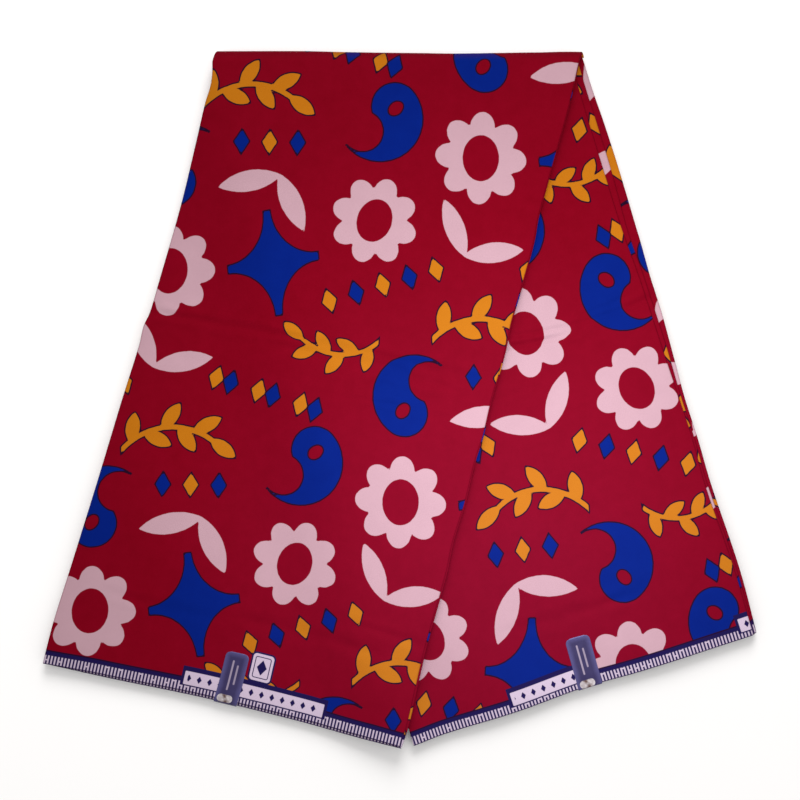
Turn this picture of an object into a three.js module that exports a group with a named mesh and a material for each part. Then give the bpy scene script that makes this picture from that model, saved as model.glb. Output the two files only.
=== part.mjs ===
// A six-yard length of wax print cotton, folded as it is sold and laid out flat.
//
// The cloth is 1219 mm from selvedge to selvedge. It is folded along its length into a strip
// of sixteen plies, and the strip is turned over once on the slant, so that its two halves
// fan out below the fold. The front half lies on the back half and drapes off it to the left.
//
// Millimetres, +X to the right, +Y towards the top fold, +Z up. The origin is on the surface
// that the cloth lies on, under the middle of its outline.

import * as THREE from "three";

// ---------------------------------------------------------------- heights of the layers

const WALL = 1.1; // a sheet that shows
const GAP = 0.3; // between neighbouring layers
const PLY = WALL + GAP;

const BACK_CORE_TOP = 5.2;
const THIRD_SHEET_BASE = BACK_CORE_TOP + GAP;
const MIDDLE_SHEET_BASE = THIRD_SHEET_BASE + PLY;
const BACK_SHEET_BASE = MIDDLE_SHEET_BASE + PLY;
const BACK_TOP = BACK_SHEET_BASE + WALL;

const FRONT_LIFT = BACK_TOP + GAP; // the front half's underside where it lies on the back half
const FRONT_CORE_TOP = 6.7; // these are above the front half's own underside
const SECOND_SHEET_BASE = FRONT_CORE_TOP + GAP;
const FRONT_SHEET_BASE = SECOND_SHEET_BASE + PLY;
const FRONT_TOP = FRONT_SHEET_BASE + WALL;

// ---------------------------------------------------------------- the top fold

const FOLD_RADIUS = (FRONT_LIFT + FRONT_TOP) / 2; // the outside of the roll
const FOLD_AXIS_Y = 303.15;
const FOLD_AXIS_Z = FOLD_RADIUS;
const FOLD_CORE_RADIUS = FOLD_RADIUS - PLY; // the layers under the outer sheet
const STRIP_SLANT = 0.272; // sideways travel of the strip for each millimetre it runs down
const OUTER_ROLL_END = THREE.MathUtils.degToRad(138);
const SECOND_ROLL_END = THREE.MathUtils.degToRad(86);
const TOE_HEIGHT = 3.32; // below this the back layers stand back from the outer sheet's lip
const TOE_REACH = 3.4; // how far past the fold's axis they touch the surface

// ---------------------------------------------------------------- outlines

// In each table "at" runs from 0 at the fold to 1 at the selvedge, or along the selvedge from
// left to right, and "out" is a distance outwards there.

// How far the lower folds of the back half step out beyond its top sheet, on the right.
const MIDDLE_FOLD_STEP = [
  { at: 0, out: 6.0 },
  { at: 0.1, out: 7.1 },
  { at: 0.2, out: 6.8 },
  { at: 0.3, out: 4.8 },
  { at: 0.4, out: 4.4 },
  { at: 0.5, out: 4.2 },
  { at: 0.6, out: 2.2 },
  { at: 0.8, out: 2.6 },
  { at: 1, out: 2.0 },
];
const THIRD_FOLD_STEP = [
  { at: 0, out: 11.5 },
  { at: 0.05, out: 12.6 },
  { at: 0.1, out: 13.9 },
  { at: 0.18, out: 14.4 },
  { at: 0.3, out: 13.4 },
  { at: 0.37, out: 10.4 },
  { at: 0.44, out: 9.9 },
  { at: 0.52, out: 7.8 },
  { at: 0.6, out: 5.2 },
  { at: 0.75, out: 5.8 },
  { at: 0.9, out: 5.2 },
  { at: 1, out: 3.9 },
];
// How far the second sheet of the front half shows past the top one, on the right.
const SECOND_FOLD_STEP = [
  { at: 0, out: 0.8 },
  { at: 0.3, out: 1.1 },
  { at: 0.6, out: 1.2 },
  { at: 1, out: 2.2 },
];
// How far the top sheet stands back from the second one at the selvedge.
const TOP_SELVEDGE_STEP = [
  { at: 0, out: 0 },
  { at: 0.16, out: -2.2 },
  { at: 0.9, out: -2.6 },
  { at: 1, out: -1.6 },
];

// Corners of each half, and how far each edge stands outside the straight line between them.
const FRONT = {
  foldLeft: new THREE.Vector2(-167.6, FOLD_AXIS_Y),
  foldRight: new THREE.Vector2(159.6, FOLD_AXIS_Y),
  selvedgeLeft: new THREE.Vector2(-321.3, -237.15),
  selvedgeRight: new THREE.Vector2(-1.35, -311.8),
  left: [
    { at: 0, out: 0 },
    { at: 0.017, out: -2.6 },
    { at: 0.037, out: -4.2 },
    { at: 0.067, out: -3.7 },
    { at: 0.129, out: -5.0 },
    { at: 0.229, out: -6.8 },
    { at: 0.36, out: -6.6 },
    { at: 0.412, out: -6.3 },
    { at: 0.436, out: -4.2 },
    { at: 0.466, out: -5.0 },
    { at: 0.562, out: -3.5 },
    { at: 0.695, out: -2.4 },
    { at: 0.828, out: -0.5 },
    { at: 0.93, out: 1.1 },
    { at: 1, out: 0 },
  ],
  right: [
    { at: 0, out: 0 },
    { at: 0.068, out: 1.4 },
    { at: 0.225, out: 0 },
    { at: 0.262, out: 1.7 },
    { at: 0.34, out: 1.1 },
    { at: 0.379, out: 0.4 },
    { at: 0.43, out: 1.7 },
    { at: 0.49, out: 0.8 },
    { at: 0.545, out: 1.6 },
    { at: 0.58, out: 0.4 },
    { at: 0.64, out: 1.1 },
    { at: 0.7, out: -0.5 },
    { at: 0.745, out: 0.8 },
    { at: 0.855, out: -0.5 },
    { at: 0.966, out: 1.4 },
    { at: 1, out: 0 },
  ],
  selvedge: [
    { at: 0, out: 0 },
    { at: 0.2, out: -0.6 },
    { at: 0.45, out: -2.6 },
    { at: 0.7, out: -1.6 },
    { at: 0.86, out: 0 },
    { at: 1, out: 0 },
  ],
  widestStep: SECOND_FOLD_STEP,
};

const BACK = {
  foldLeft: new THREE.Vector2(-160, FOLD_AXIS_Y),
  foldRight: new THREE.Vector2(154.1, FOLD_AXIS_Y),
  selvedgeLeft: new THREE.Vector2(12.6, -311.4),
  selvedgeRight: new THREE.Vector2(317.73, -211.95),
  left: [
    { at: 0, out: 0 },
    { at: 1, out: 0 },
  ],
  right: [
    { at: 0, out: 0 },
    { at: 0.07, out: -1.1 },
    { at: 0.18, out: -1.7 },
    { at: 0.29, out: -2.1 },
    { at: 0.37, out: -0.3 },
    { at: 0.52, out: 0.3 },
    { at: 0.65, out: 1.4 },
    { at: 0.74, out: -0.3 },
    { at: 0.89, out: 1.6 },
    { at: 1, out: 0 },
  ],
  selvedge: [
    { at: 0, out: 0 },
    { at: 0.1, out: -1.6 },
    { at: 0.3, out: -0.4 },
    { at: 0.5, out: -2.4 },
    { at: 0.68, out: -0.4 },
    { at: 1, out: 0 },
  ],
  widestStep: THIRD_FOLD_STEP,
};

// ---------------------------------------------------------------- drape, edges and creases

const DRAPE_START = 2; // past the back half's left edge
const DRAPE_RUN = 80;
const DRAPE_FADE = 70; // the fold holds the layers up for this far below it
const EDGE_PRESS = 0.1; // share of its height that each stack loses at its edges
const EDGE_REACH = 13;
const PRESS_FADE = 40; // the fold keeps its full height

// The storage crease crosses each half at mid-length. "down" is its place between the fold
// and the selvedge, and "leftShift" and "rightShift" slant it across the strip.
const FRONT_CREASE = { down: 0.44, leftShift: -0.015, rightShift: 0.015, depth: 1.0, lip: 0.45 };
const BACK_CREASE = { down: 0.46, leftShift: 0.04, rightShift: -0.053, depth: 0.9, lip: 0 };
const CREASE_HALF_WIDTH = 5.5;
const LIP_DISTANCE = 11;

// ---------------------------------------------------------------- grids

// Grid lines across and down each half, closer together at the edges and round the crease.
const evenly = (from, to, steps) =>
  Array.from({ length: steps + 1 }, (_, i) => from + ((to - from) * i) / steps);
const besideCrease = ({ down }, ...distances) => distances.map((distance) => down + distance);

const FRONT_COLUMNS = [0, 0.018, ...evenly(0.05, 0.95, 18), 0.982, 1];
const BACK_COLUMNS = [0, ...evenly(0.05, 0.95, 5), 0.982, 1];
const FRONT_ROWS = [
  ...evenly(0, 0.39, 9),
  ...besideCrease(FRONT_CREASE, -0.028, -0.012, 0, 0.012, 0.028, 0.05),
  ...evenly(0.54, 0.96, 9),
  0.983,
  1,
];
const BACK_ROWS = [
  ...evenly(0, 0.41, 5),
  ...besideCrease(BACK_CREASE, -0.028, -0.012, 0, 0.012, 0.028, 0.05),
  ...evenly(0.58, 0.955, 5),
  0.983,
  1,
];
const OUTER_ROLL_STEPS = 9;
const SECOND_ROLL_STEPS = 5;

const RIM_ROUND = 0.45; // a sheet's rounded edge stands this far out
const HIDDEN_PLIES = 4; // rounded ridges round the edge of a stack of hidden layers
const PLY_ROUND = 1.0; // depth of the groove between two of them
const PLY_FALL = 0.4; // how much lower the topmost hidden ply lies at its edge

const { lerp, smoothstep } = THREE.MathUtils;

// ---------------------------------------------------------------- plan of a half

const PROBE = 0.01; // the way out of a half is measured over this share of it

// 0 at both ends of a run and 1 half-way.
const bowed = (share) => 4 * share * (1 - share);

// A value between the rows of a table, on a smooth curve through them.
function fromTable(rows, at) {
  const last = rows.length - 1;
  let i = 0;
  while (i < last - 1 && at > rows[i + 1].at) i += 1;
  const slope = (j) => {
    const before = rows[Math.max(j - 1, 0)];
    const after = rows[Math.min(j + 1, last)];
    return (after.out - before.out) / (after.at - before.at);
  };
  const step = rows[i + 1].at - rows[i].at;
  const u = THREE.MathUtils.clamp((at - rows[i].at) / step, 0, 1);
  const value = rows[i].out * (1 + 2 * u) * (1 - u) ** 2 + rows[i + 1].out * (3 - 2 * u) * u ** 2;
  const bend = slope(i) * u * (1 - u) ** 2 - slope(i + 1) * (1 - u) * u ** 2;
  return value + step * bend;
}

// A point on one edge, from its table. "side" is -1 where the outside is on the left of the
// way from start to end, and 1 where it is on the right.
function edgePoint(start, end, rows, at, side) {
  const along = end.clone().sub(start).normalize();
  const outward = new THREE.Vector2(along.y, -along.x).multiplyScalar(side);
  return start.clone().lerp(end, at).addScaledVector(outward, fromTable(rows, at));
}

// A point of a half in plan. "across" runs from its left edge to its right one, and "down"
// from the fold to the selvedge.
function planPoint(half, across, down) {
  const left = edgePoint(half.foldLeft, half.selvedgeLeft, half.left, down, 1);
  const right = edgePoint(half.foldRight, half.selvedgeRight, half.right, down, -1);
  const hem = edgePoint(half.selvedgeLeft, half.selvedgeRight, half.selvedge, across, 1);
  const chord = half.selvedgeLeft.clone().lerp(half.selvedgeRight, across);
  return left.lerp(right, across).addScaledVector(hem.sub(chord), down);
}

// The place "down" the half of a grid row, slanted so that the rows run along the crease.
function slantedRow(crease, across, row) {
  const shift = lerp(crease.leftShift, crease.rightShift, across);
  return row + shift * bowed(row);
}

// The way out of a half in plan, over its nearer side and over its selvedge.
function sideOutward(half, across, down) {
  const inner = planPoint(half, lerp(across, 0.5, PROBE), down);
  return planPoint(half, across, down).sub(inner).normalize();
}

function selvedgeOutward(half, across, down) {
  const inner = planPoint(half, across, down - PROBE);
  return planPoint(half, across, down).sub(inner).normalize();
}

// ---------------------------------------------------------------- heights on a half

// A stack is pressed flatter towards the outermost of its edges.
function pressAt(half, across, down, step) {
  const width = half.foldRight.x - half.foldLeft.x;
  const length = FOLD_AXIS_Y - half.selvedgeLeft.y;
  const fromEdge = Math.min(
    across * width - step.side,
    (1 - across) * width + fromTable(half.widestStep, down) - step.side,
    (1 - down) * length - step.selvedge,
  );
  const inside = THREE.MathUtils.clamp(fromEdge / EDGE_REACH, 0, 1);
  const fromFold = smoothstep(down * length, 0, PRESS_FADE);
  return 1 - EDGE_PRESS * fromFold * (1 - inside) ** 2;
}

function creaseAt(half, crease, row) {
  const length = FOLD_AXIS_Y - half.selvedgeLeft.y;
  const away = (row - crease.down) * length;
  const hump = (centre) => Math.exp(-(((away - centre) / CREASE_HALF_WIDTH) ** 2));
  return crease.lip * (hump(-LIP_DISTANCE) + hump(LIP_DISTANCE)) - crease.depth * hump(0);
}

// Height of the front half's underside: it lies on the back half and drapes down on its left.
function frontUnderside(point) {
  const along = BACK.selvedgeLeft.clone().sub(BACK.foldLeft).normalize();
  const offset = point.clone().sub(BACK.foldLeft);
  const outside = offset.x * along.y - offset.y * along.x;
  const past = smoothstep(outside, DRAPE_START, DRAPE_START + DRAPE_RUN);
  const below = smoothstep(FOLD_AXIS_Y - point.y, 0, DRAPE_FADE);
  return FRONT_LIFT * (1 - past * below);
}

// What the layers of each half share. "slant" is their sideways travel towards the fold.
const HALVES = {
  front: {
    plan: FRONT,
    columns: FRONT_COLUMNS,
    rows: FRONT_ROWS,
    crease: FRONT_CREASE,
    slant: STRIP_SLANT,
    top: FRONT_TOP,
    underside: frontUnderside,
  },
  back: {
    plan: BACK,
    columns: BACK_COLUMNS,
    rows: BACK_ROWS,
    crease: BACK_CREASE,
    slant: -STRIP_SLANT,
    top: BACK_TOP,
    underside: () => 0,
  },
};

const NO_STEP = { side: 0, selvedge: 0 };

// A point of a layer at "height" in the stack, with its edge stepped out in plan.
function layerPoint(half, across, row, height, step = NO_STEP) {
  const down = slantedRow(half.crease, across, row);
  const point = planPoint(half.plan, across, down);
  const sideways = sideOutward(half.plan, across, down).multiplyScalar(step.side);
  point.add(sideways).addScaledVector(selvedgeOutward(half.plan, across, down), step.selvedge);
  const press = pressAt(half.plan, across, down, step);
  const crease = creaseAt(half.plan, half.crease, row) * (height / half.top);
  return new THREE.Vector3(point.x, point.y, half.underside(point) + height * press + crease);
}

// The same layer where it turns over the top fold.
function rolledPoint(half, across, angle, height, step) {
  const start = layerPoint(half, across, 0, height, step);
  const radius = start.z - FOLD_AXIS_Z;
  return new THREE.Vector3(
    start.x + half.slant * FOLD_RADIUS * angle,
    FOLD_AXIS_Y + radius * Math.sin(angle),
    FOLD_AXIS_Z + radius * Math.cos(angle),
  );
}

// How far past the fold's axis the hidden layers reach at a height.
function foldReach(height, radius) {
  if (height < TOE_HEIGHT) {
    const top = foldReach(TOE_HEIGHT, radius);
    return lerp(TOE_REACH, top, height / TOE_HEIGHT);
  }
  return Math.sqrt(Math.max(radius ** 2 - (height - FOLD_AXIS_Z) ** 2, 0));
}

// A layer that ends inside the fold is drawn on past the fold's axis.
function drawIntoFold(half, point, reach) {
  point.x += half.slant * reach;
  point.y += reach;
}

// ---------------------------------------------------------------- closed solids from grids

// The points round a grid, in order.
function perimeter(grid) {
  const lastRow = grid.length - 1;
  const lastColumn = grid[0].length - 1;
  const ring = [];
  for (let c = 0; c <= lastColumn; c += 1) ring.push(grid[0][c]);
  for (let r = 1; r <= lastRow; r += 1) ring.push(grid[r][lastColumn]);
  for (let c = lastColumn - 1; c >= 0; c -= 1) ring.push(grid[lastRow][c]);
  for (let r = lastRow - 1; r > 0; r -= 1) ring.push(grid[r][0]);
  return ring;
}

// A closed solid between an upper and a lower grid, whose side runs through the given rings.
// A flat underside is left as a few large faces.
function solidBetween(upper, lower, rings, flatUnderside = false) {
  const positions = [];
  const indices = [];
  const place = (point) => positions.push(point.x, point.y, point.z) / 3 - 1;
  const number = (grid) => grid.map((row) => row.map(place));
  const face = (a, b, c) => indices.push(a, b, c);
  const quad = (a, b, c, d) => {
    face(a, b, c);
    face(a, c, d);
  };
  const upperIds = number(upper);
  const columns = upper[0].length - 1;
  for (let r = 0; r < upper.length - 1; r += 1) {
    for (let c = 0; c < columns; c += 1) {
      quad(upperIds[r][c], upperIds[r][c + 1], upperIds[r + 1][c + 1], upperIds[r + 1][c]);
    }
  }
  let lowerRing;
  if (flatUnderside) {
    const outline = perimeter(lower);
    lowerRing = outline.map(place);
    const contour = outline.map((p) => new THREE.Vector2(p.x, p.y));
    const clockwise = THREE.ShapeUtils.isClockWise(contour);
    for (const [a, b, c] of THREE.ShapeUtils.triangulateShape(contour, [])) {
      if (clockwise) face(lowerRing[a], lowerRing[b], lowerRing[c]);
      else face(lowerRing[a], lowerRing[c], lowerRing[b]);
    }
  } else {
    const lowerIds = number(lower);
    for (let r = 0; r < lower.length - 1; r += 1) {
      for (let c = 0; c < columns; c += 1) {
        quad(lowerIds[r][c], lowerIds[r + 1][c], lowerIds[r + 1][c + 1], lowerIds[r][c + 1]);
      }
    }
    lowerRing = perimeter(lowerIds);
  }
  const loops = [perimeter(upperIds), ...rings.map((ring) => ring.map(place)), lowerRing];
  for (let k = 0; k < loops.length - 1; k += 1) {
    for (let i = 0; i < loops[k].length; i += 1) {
      const next = (i + 1) % loops[k].length;
      quad(loops[k][next], loops[k][i], loops[k + 1][i], loops[k + 1][next]);
    }
  }
  return facingOut(positions, indices);
}

// The geometry with its faces turned outwards.
function facingOut(positions, indices) {
  const corner = (i) => new THREE.Vector3().fromArray(positions, 3 * indices[i]);
  let volume = 0;
  for (let i = 0; i < indices.length; i += 3) {
    volume += corner(i).dot(corner(i + 1).cross(corner(i + 2)));
  }
  const turned = volume < 0 ? indices.slice().reverse() : indices;
  const geometry = new THREE.BufferGeometry();
  geometry.setAttribute("position", new THREE.Float32BufferAttribute(positions, 3));
  geometry.setIndex(turned);
  geometry.computeVertexNormals();
  return geometry;
}

// The rounded rim of a sheet: one ring half-way between its faces, moved out. Its last row
// stays square where it ends inside the fold.
function roundedRim(upper, lower, endsInFold) {
  const lastRow = upper.length - 1;
  const lastColumn = upper[0].length - 1;
  const lastInner = endsInFold ? lastRow : lastRow - 1;
  const middle = (r, c) => upper[r][c].clone().lerp(lower[r][c], 0.5);
  const rimPoint = (r, c) => {
    const edge = middle(r, c);
    if (endsInFold && r === lastRow) return edge;
    const innerRow = THREE.MathUtils.clamp(r, 1, lastInner);
    const innerColumn = THREE.MathUtils.clamp(c, 1, lastColumn - 1);
    const outward = edge.clone().sub(middle(innerRow, innerColumn)).normalize();
    return edge.addScaledVector(outward, RIM_ROUND);
  };
  return [perimeter(upper.map((row, r) => row.map((_, c) => rimPoint(r, c))))];
}

// ---------------------------------------------------------------- sheets that show

// How far the edges of a layer stand out at a grid point; inner points aren't moved.
function stepOut(steps, across, row, groove = 0) {
  const sides = { 0: steps.left, 1: across === 1 ? fromTable(steps.right, row) : 0 };
  return {
    side: across in sides ? sides[across] + groove : 0,
    selvedge: row === 1 ? fromTable(steps.selvedge, across) + groove : 0,
  };
}

const level = (out) => [
  { at: 0, out },
  { at: 1, out },
];

// The points of a face of a half as a grid, from the selvedge up to the fold.
function gridOf(half, pointAt) {
  const upwards = half.rows.slice().reverse();
  return upwards.map((row) => half.columns.map((across) => pointAt(across, row)));
}

// One sheet of a half, from its base in the stack. It turns over the top fold where "roll"
// says how far, and ends inside the fold where there is none.
function sheet(half, base, steps, roll) {
  const reach = foldReach(base, FOLD_CORE_RADIUS);
  const face = (height) => {
    const grid = gridOf(half, (across, row) => {
      const point = layerPoint(half, across, row, height, stepOut(steps, across, row));
      if (row === 0 && !roll) drawIntoFold(half, point, reach);
      return point;
    });
    for (let i = 1; roll && i <= roll.steps; i += 1) {
      const angle = (roll.end * i) / roll.steps;
      const rolled = (across) =>
        rolledPoint(half, across, angle, height, stepOut(steps, across, 0));
      grid.push(half.columns.map(rolled));
    }
    return grid;
  };
  const upper = face(base + WALL);
  const lower = face(base);
  return solidBetween(upper, lower, roundedRim(upper, lower, !roll));
}

// ---------------------------------------------------------------- hidden layers

// The hidden layers of a half as one rounded solid, grooved round its edge like a stack of
// folds, and rounded at the top fold to fit inside the sheets that turn over it.
function hiddenLayers(half, top, steps, radius, flatUnderside) {
  const levels = 2 * HIDDEN_PLIES;
  const ringAt = (k) => {
    const height = lerp(top, 0, k / levels);
    const groove = k % 2 === 0 ? -PLY_ROUND : 0;
    return gridOf(half, (across, row) => {
      const step = stepOut(steps, across, row, groove);
      const atEdge = k === 0 && (step.side !== 0 || step.selvedge !== 0);
      const point = layerPoint(half, across, row, atEdge ? height - PLY_FALL : height, step);
      if (row === 0) drawIntoFold(half, point, foldReach(point.z, radius));
      return point;
    });
  };
  const rings = [];
  for (let k = 1; k < levels; k += 1) rings.push(perimeter(ringAt(k)));
  return solidBetween(ringAt(0), ringAt(levels), rings, flatUnderside);
}

// ---------------------------------------------------------------- foil labels

const LABEL_WALL = 0.6;
const LABEL_LIFT = 0.45; // clear of the cloth under it
const LABEL_COLUMNS = 5;
const LABEL_ROWS = 9;
const UPRIGHT = 0.2; // below this rise, a normal counts as one of the turned-down end
// Where each label lies on its half, and the way its end turns down over the selvedge.
const LABELS = {
  front_label: {
    half: HALVES.front,
    columns: { from: 0.478, to: 0.542 },
    start: 0.922,
    setBack: 2.45,
    turn: [
      { out: 0.5, height: 0 },
      { out: 2.6, height: -0.9 },
      { out: 3.5, height: -2.0 },
      { out: 3.8, height: -3.6 },
      { out: 3.8, height: -6.4 },
    ],
  },
  back_label: {
    half: HALVES.back,
    columns: { from: 0.488, to: 0.557 },
    start: 0.922,
    setBack: 0,
    turn: [
      { out: 0.5, height: 0 },
      { out: 1.1, height: -0.5 },
      { out: 1.3, height: -1.5 },
      { out: 1.3, height: -6.2 },
    ],
  },
};

function label({ half, columns, start, setBack, turn }) {
  const line = (across) => {
    const points = [];
    for (let i = 0; i <= LABEL_ROWS; i += 1) {
      const row = lerp(start, 1, i / LABEL_ROWS);
      const step = { side: 0, selvedge: i === LABEL_ROWS ? -setBack : 0 };
      points.push(layerPoint(half, across, row, half.top, step));
    }
    const end = points[LABEL_ROWS];
    const away = selvedgeOutward(half.plan, across, 1);
    for (const { out, height } of turn) {
      points.push(new THREE.Vector3(end.x + away.x * out, end.y + away.y * out, end.z + height));
    }
    return points;
  };
  const lines = [];
  for (let c = 0; c < LABEL_COLUMNS; c += 1) {
    lines.push(line(lerp(columns.from, columns.to, c / (LABEL_COLUMNS - 1))));
  }
  // Each face is moved out along the line's own normal, so the foil keeps its thickness.
  const moved = (distance) =>
    lines.map((points) =>
      points.map((point, i) => {
        const before = points[Math.max(i - 1, 0)];
        const after = points[Math.min(i + 1, points.length - 1)];
        const along = after.clone().sub(before).normalize();
        const sideways = lines[LABEL_COLUMNS - 1][i].clone().sub(lines[0][i]).normalize();
        const normal = sideways.cross(along).normalize();
        if (normal.z < 0) normal.negate();
        if (Math.abs(normal.z) < UPRIGHT && normal.y > 0) normal.negate();
        return point.clone().addScaledVector(normal, distance);
      }),
    );
  return solidBetween(moved(LABEL_LIFT + LABEL_WALL), moved(LABEL_LIFT), []);
}

// ---------------------------------------------------------------- materials

const COTTON_RED = { color: 0x8c0620, roughness: 0.62, metalness: 0 };
const COTTON_EDGE_RED = { color: 0x7a0418, roughness: 0.7, metalness: 0 };
const FOIL_VIOLET = { color: 0x3a3268, roughness: 0.28, metalness: 0.35 };

// ---------------------------------------------------------------- the part

// How far the edges of each layer stand out on the left, the right and the selvedge. Those
// of the hidden layers stand back a little, under the sheets that show.
const THIRD_SHEET_STEPS = { left: 0, right: THIRD_FOLD_STEP, selvedge: level(-0.8) };
const MIDDLE_SHEET_STEPS = { left: -1.2, right: MIDDLE_FOLD_STEP, selvedge: level(-0.4) };
const BACK_SHEET_STEPS = { left: 0, right: level(0), selvedge: level(0) };
const SECOND_SHEET_STEPS = { left: -0.9, right: SECOND_FOLD_STEP, selvedge: level(0) };
const FRONT_SHEET_STEPS = { left: 0, right: level(0), selvedge: TOP_SELVEDGE_STEP };
const FRONT_LAYERS_STEPS = { left: -0.6, right: level(0.4), selvedge: level(-0.9) };
const SET_BACK = 0.9;
const BACK_LAYERS_STEPS = {
  left: -0.6,
  right: THIRD_FOLD_STEP.map(({ at, out }) => ({ at, out: out - SET_BACK })),
  selvedge: level(-SET_BACK),
};
const OUTER_ROLL = { end: OUTER_ROLL_END, steps: OUTER_ROLL_STEPS };
const SECOND_ROLL = { end: SECOND_ROLL_END, steps: SECOND_ROLL_STEPS };

const { front, back } = HALVES;
const SHEETS = [
  { name: "back_third_sheet", half: back, base: THIRD_SHEET_BASE, steps: THIRD_SHEET_STEPS },
  { name: "back_middle_sheet", half: back, base: MIDDLE_SHEET_BASE, steps: MIDDLE_SHEET_STEPS },
  { name: "back_sheet", half: back, base: BACK_SHEET_BASE, steps: BACK_SHEET_STEPS },
  {
    name: "front_second_sheet",
    half: front,
    base: SECOND_SHEET_BASE,
    steps: SECOND_SHEET_STEPS,
    roll: SECOND_ROLL,
  },
  {
    name: "front_sheet",
    half: front,
    base: FRONT_SHEET_BASE,
    steps: FRONT_SHEET_STEPS,
    roll: OUTER_ROLL,
  },
];

const cloth = new THREE.Group();
cloth.name = "folded_wax_print";

function addPiece(name, geometry, finish) {
  const mesh = new THREE.Mesh(geometry, new THREE.MeshStandardMaterial(finish));
  mesh.name = name;
  cloth.add(mesh);
}

addPiece(
  "back_layers",
  hiddenLayers(back, BACK_CORE_TOP, BACK_LAYERS_STEPS, FOLD_CORE_RADIUS, true),
  COTTON_EDGE_RED,
);
addPiece(
  "front_layers",
  hiddenLayers(front, FRONT_CORE_TOP, FRONT_LAYERS_STEPS, FOLD_CORE_RADIUS - PLY, false),
  COTTON_EDGE_RED,
);
for (const { name, half, base, steps, roll } of SHEETS) {
  addPiece(name, sheet(half, base, steps, roll), COTTON_RED);
}
for (const [name, place] of Object.entries(LABELS)) {
  addPiece(name, label(place), FOIL_VIOLET);
}

export default cloth;
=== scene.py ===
import math
from collections import namedtuple

import bpy
import numpy as np
from bpy.props import FloatProperty, FloatVectorProperty, IntProperty, PointerProperty
from bpy.types import Operator, Panel, PropertyGroup
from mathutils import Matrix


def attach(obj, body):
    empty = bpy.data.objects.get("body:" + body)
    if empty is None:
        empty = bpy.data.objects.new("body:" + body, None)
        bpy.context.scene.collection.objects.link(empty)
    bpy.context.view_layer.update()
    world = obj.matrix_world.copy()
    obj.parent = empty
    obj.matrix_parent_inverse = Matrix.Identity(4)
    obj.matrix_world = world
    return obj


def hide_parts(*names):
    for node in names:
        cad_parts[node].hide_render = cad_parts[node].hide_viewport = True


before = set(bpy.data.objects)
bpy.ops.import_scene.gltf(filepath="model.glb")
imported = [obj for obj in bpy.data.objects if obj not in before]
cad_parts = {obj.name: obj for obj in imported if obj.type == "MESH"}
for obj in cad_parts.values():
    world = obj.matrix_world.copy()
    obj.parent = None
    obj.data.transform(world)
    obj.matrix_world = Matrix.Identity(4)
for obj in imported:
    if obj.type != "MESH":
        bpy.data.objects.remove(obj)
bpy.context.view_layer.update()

bl_info = {
    "name": "Folded wax print cotton",
    "version": (1, 0, 0),
    "blender": (4, 5, 0),
    "location": "3D View > Sidebar > Wax Print",
    "description": "A six-yard length of wax print cotton, folded as it is sold and laid flat",
    "category": "Object",
}

# Sizes are in millimetres, in the frame's own axes, and become metres where a mesh is made.
MM = 0.001

# ---------------------------------------------------------------- heights of the layers

WALL = 1.1  # a sheet that shows is two plies, joined by a fold at each side
PLY_WALL = 0.95  # a hidden pair of plies
GAP = 0.3
PLY_PAIR = WALL + GAP

BACK_CORE_TOP = 5.2
THIRD_BASE = BACK_CORE_TOP + GAP
MIDDLE_BASE = THIRD_BASE + PLY_PAIR
BACK_BASE = MIDDLE_BASE + PLY_PAIR
BACK_TOP = BACK_BASE + WALL
FRONT_LIFT = BACK_TOP + GAP
FRONT_CORE_TOP = 6.7
SECOND_BASE = FRONT_CORE_TOP + GAP
FRONT_BASE = SECOND_BASE + PLY_PAIR
FRONT_TOP = FRONT_BASE + WALL

# ---------------------------------------------------------------- the top fold

FOLD_RADIUS = (FRONT_LIFT + FRONT_TOP) / 2
FOLD_Y = 303.15
FOLD_CORE_RADIUS = FOLD_RADIUS - PLY_PAIR
FOLD_PULL = 20.0  # a layer that reaches past the fold's axis is drawn out over this length
STRIP_SLANT = 0.272
OUTER_ROLL_END = math.radians(138)
SECOND_ROLL_END = math.radians(86)
TOE_HEIGHT = 3.32
TOE_REACH = 3.4

# ---------------------------------------------------------------- drape and pressed edges

DRAPE_START = 2.0
DRAPE_RUN = 80.0
DRAPE_FADE = 70.0
EDGE_PRESS = 0.1
EDGE_REACH = 13.0
PRESS_FADE = 40.0
PLY_SLACK = 0.14  # share of the stack's height by which the hidden plies lie lower inside
SLACK_START, SLACK_END = 12.0, 40.0  # distances from the nearest edge
RUMPLE_START = 50.0  # the broad waves have their full height this far from the fold
STEP_REACH = 0.06  # share of the width over which a stepped edge leaves the plan
SELVEDGE_REACH = 0.03
TUCK_HALF_WIDTH = 1.0
TUCK_REACH = 60.0  # the print is back in step this far past a tuck
EDGE_SHARE = 0.01  # share of a half over which the way outwards is taken

# ---------------------------------------------------------------- outlines

# How far an edge stands outside its straight line, along the edge.
Table = namedtuple("Table", "at out")

# A crease runs from its start to its end, bowed sideways at its middle, and is "lip" high
# beside the trough. "fade" is the share of its length over which each end dies away, and
# "tuck" is how much cloth, with its print, is lost in it.
Crease = namedtuple("Crease", "start end bow half_width depth lip fade tuck", defaults=(0.0,))

# One half of the strip, from the top fold down to its selvedge.
Half = namedtuple(
    "Half",
    "fold_left fold_right selvedge_left selvedge_right left right selvedge widest_step top "
    "drapes slant creases seed",
)


def level(out):
    return Table(at=(0, 1), out=(out, out))


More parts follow.
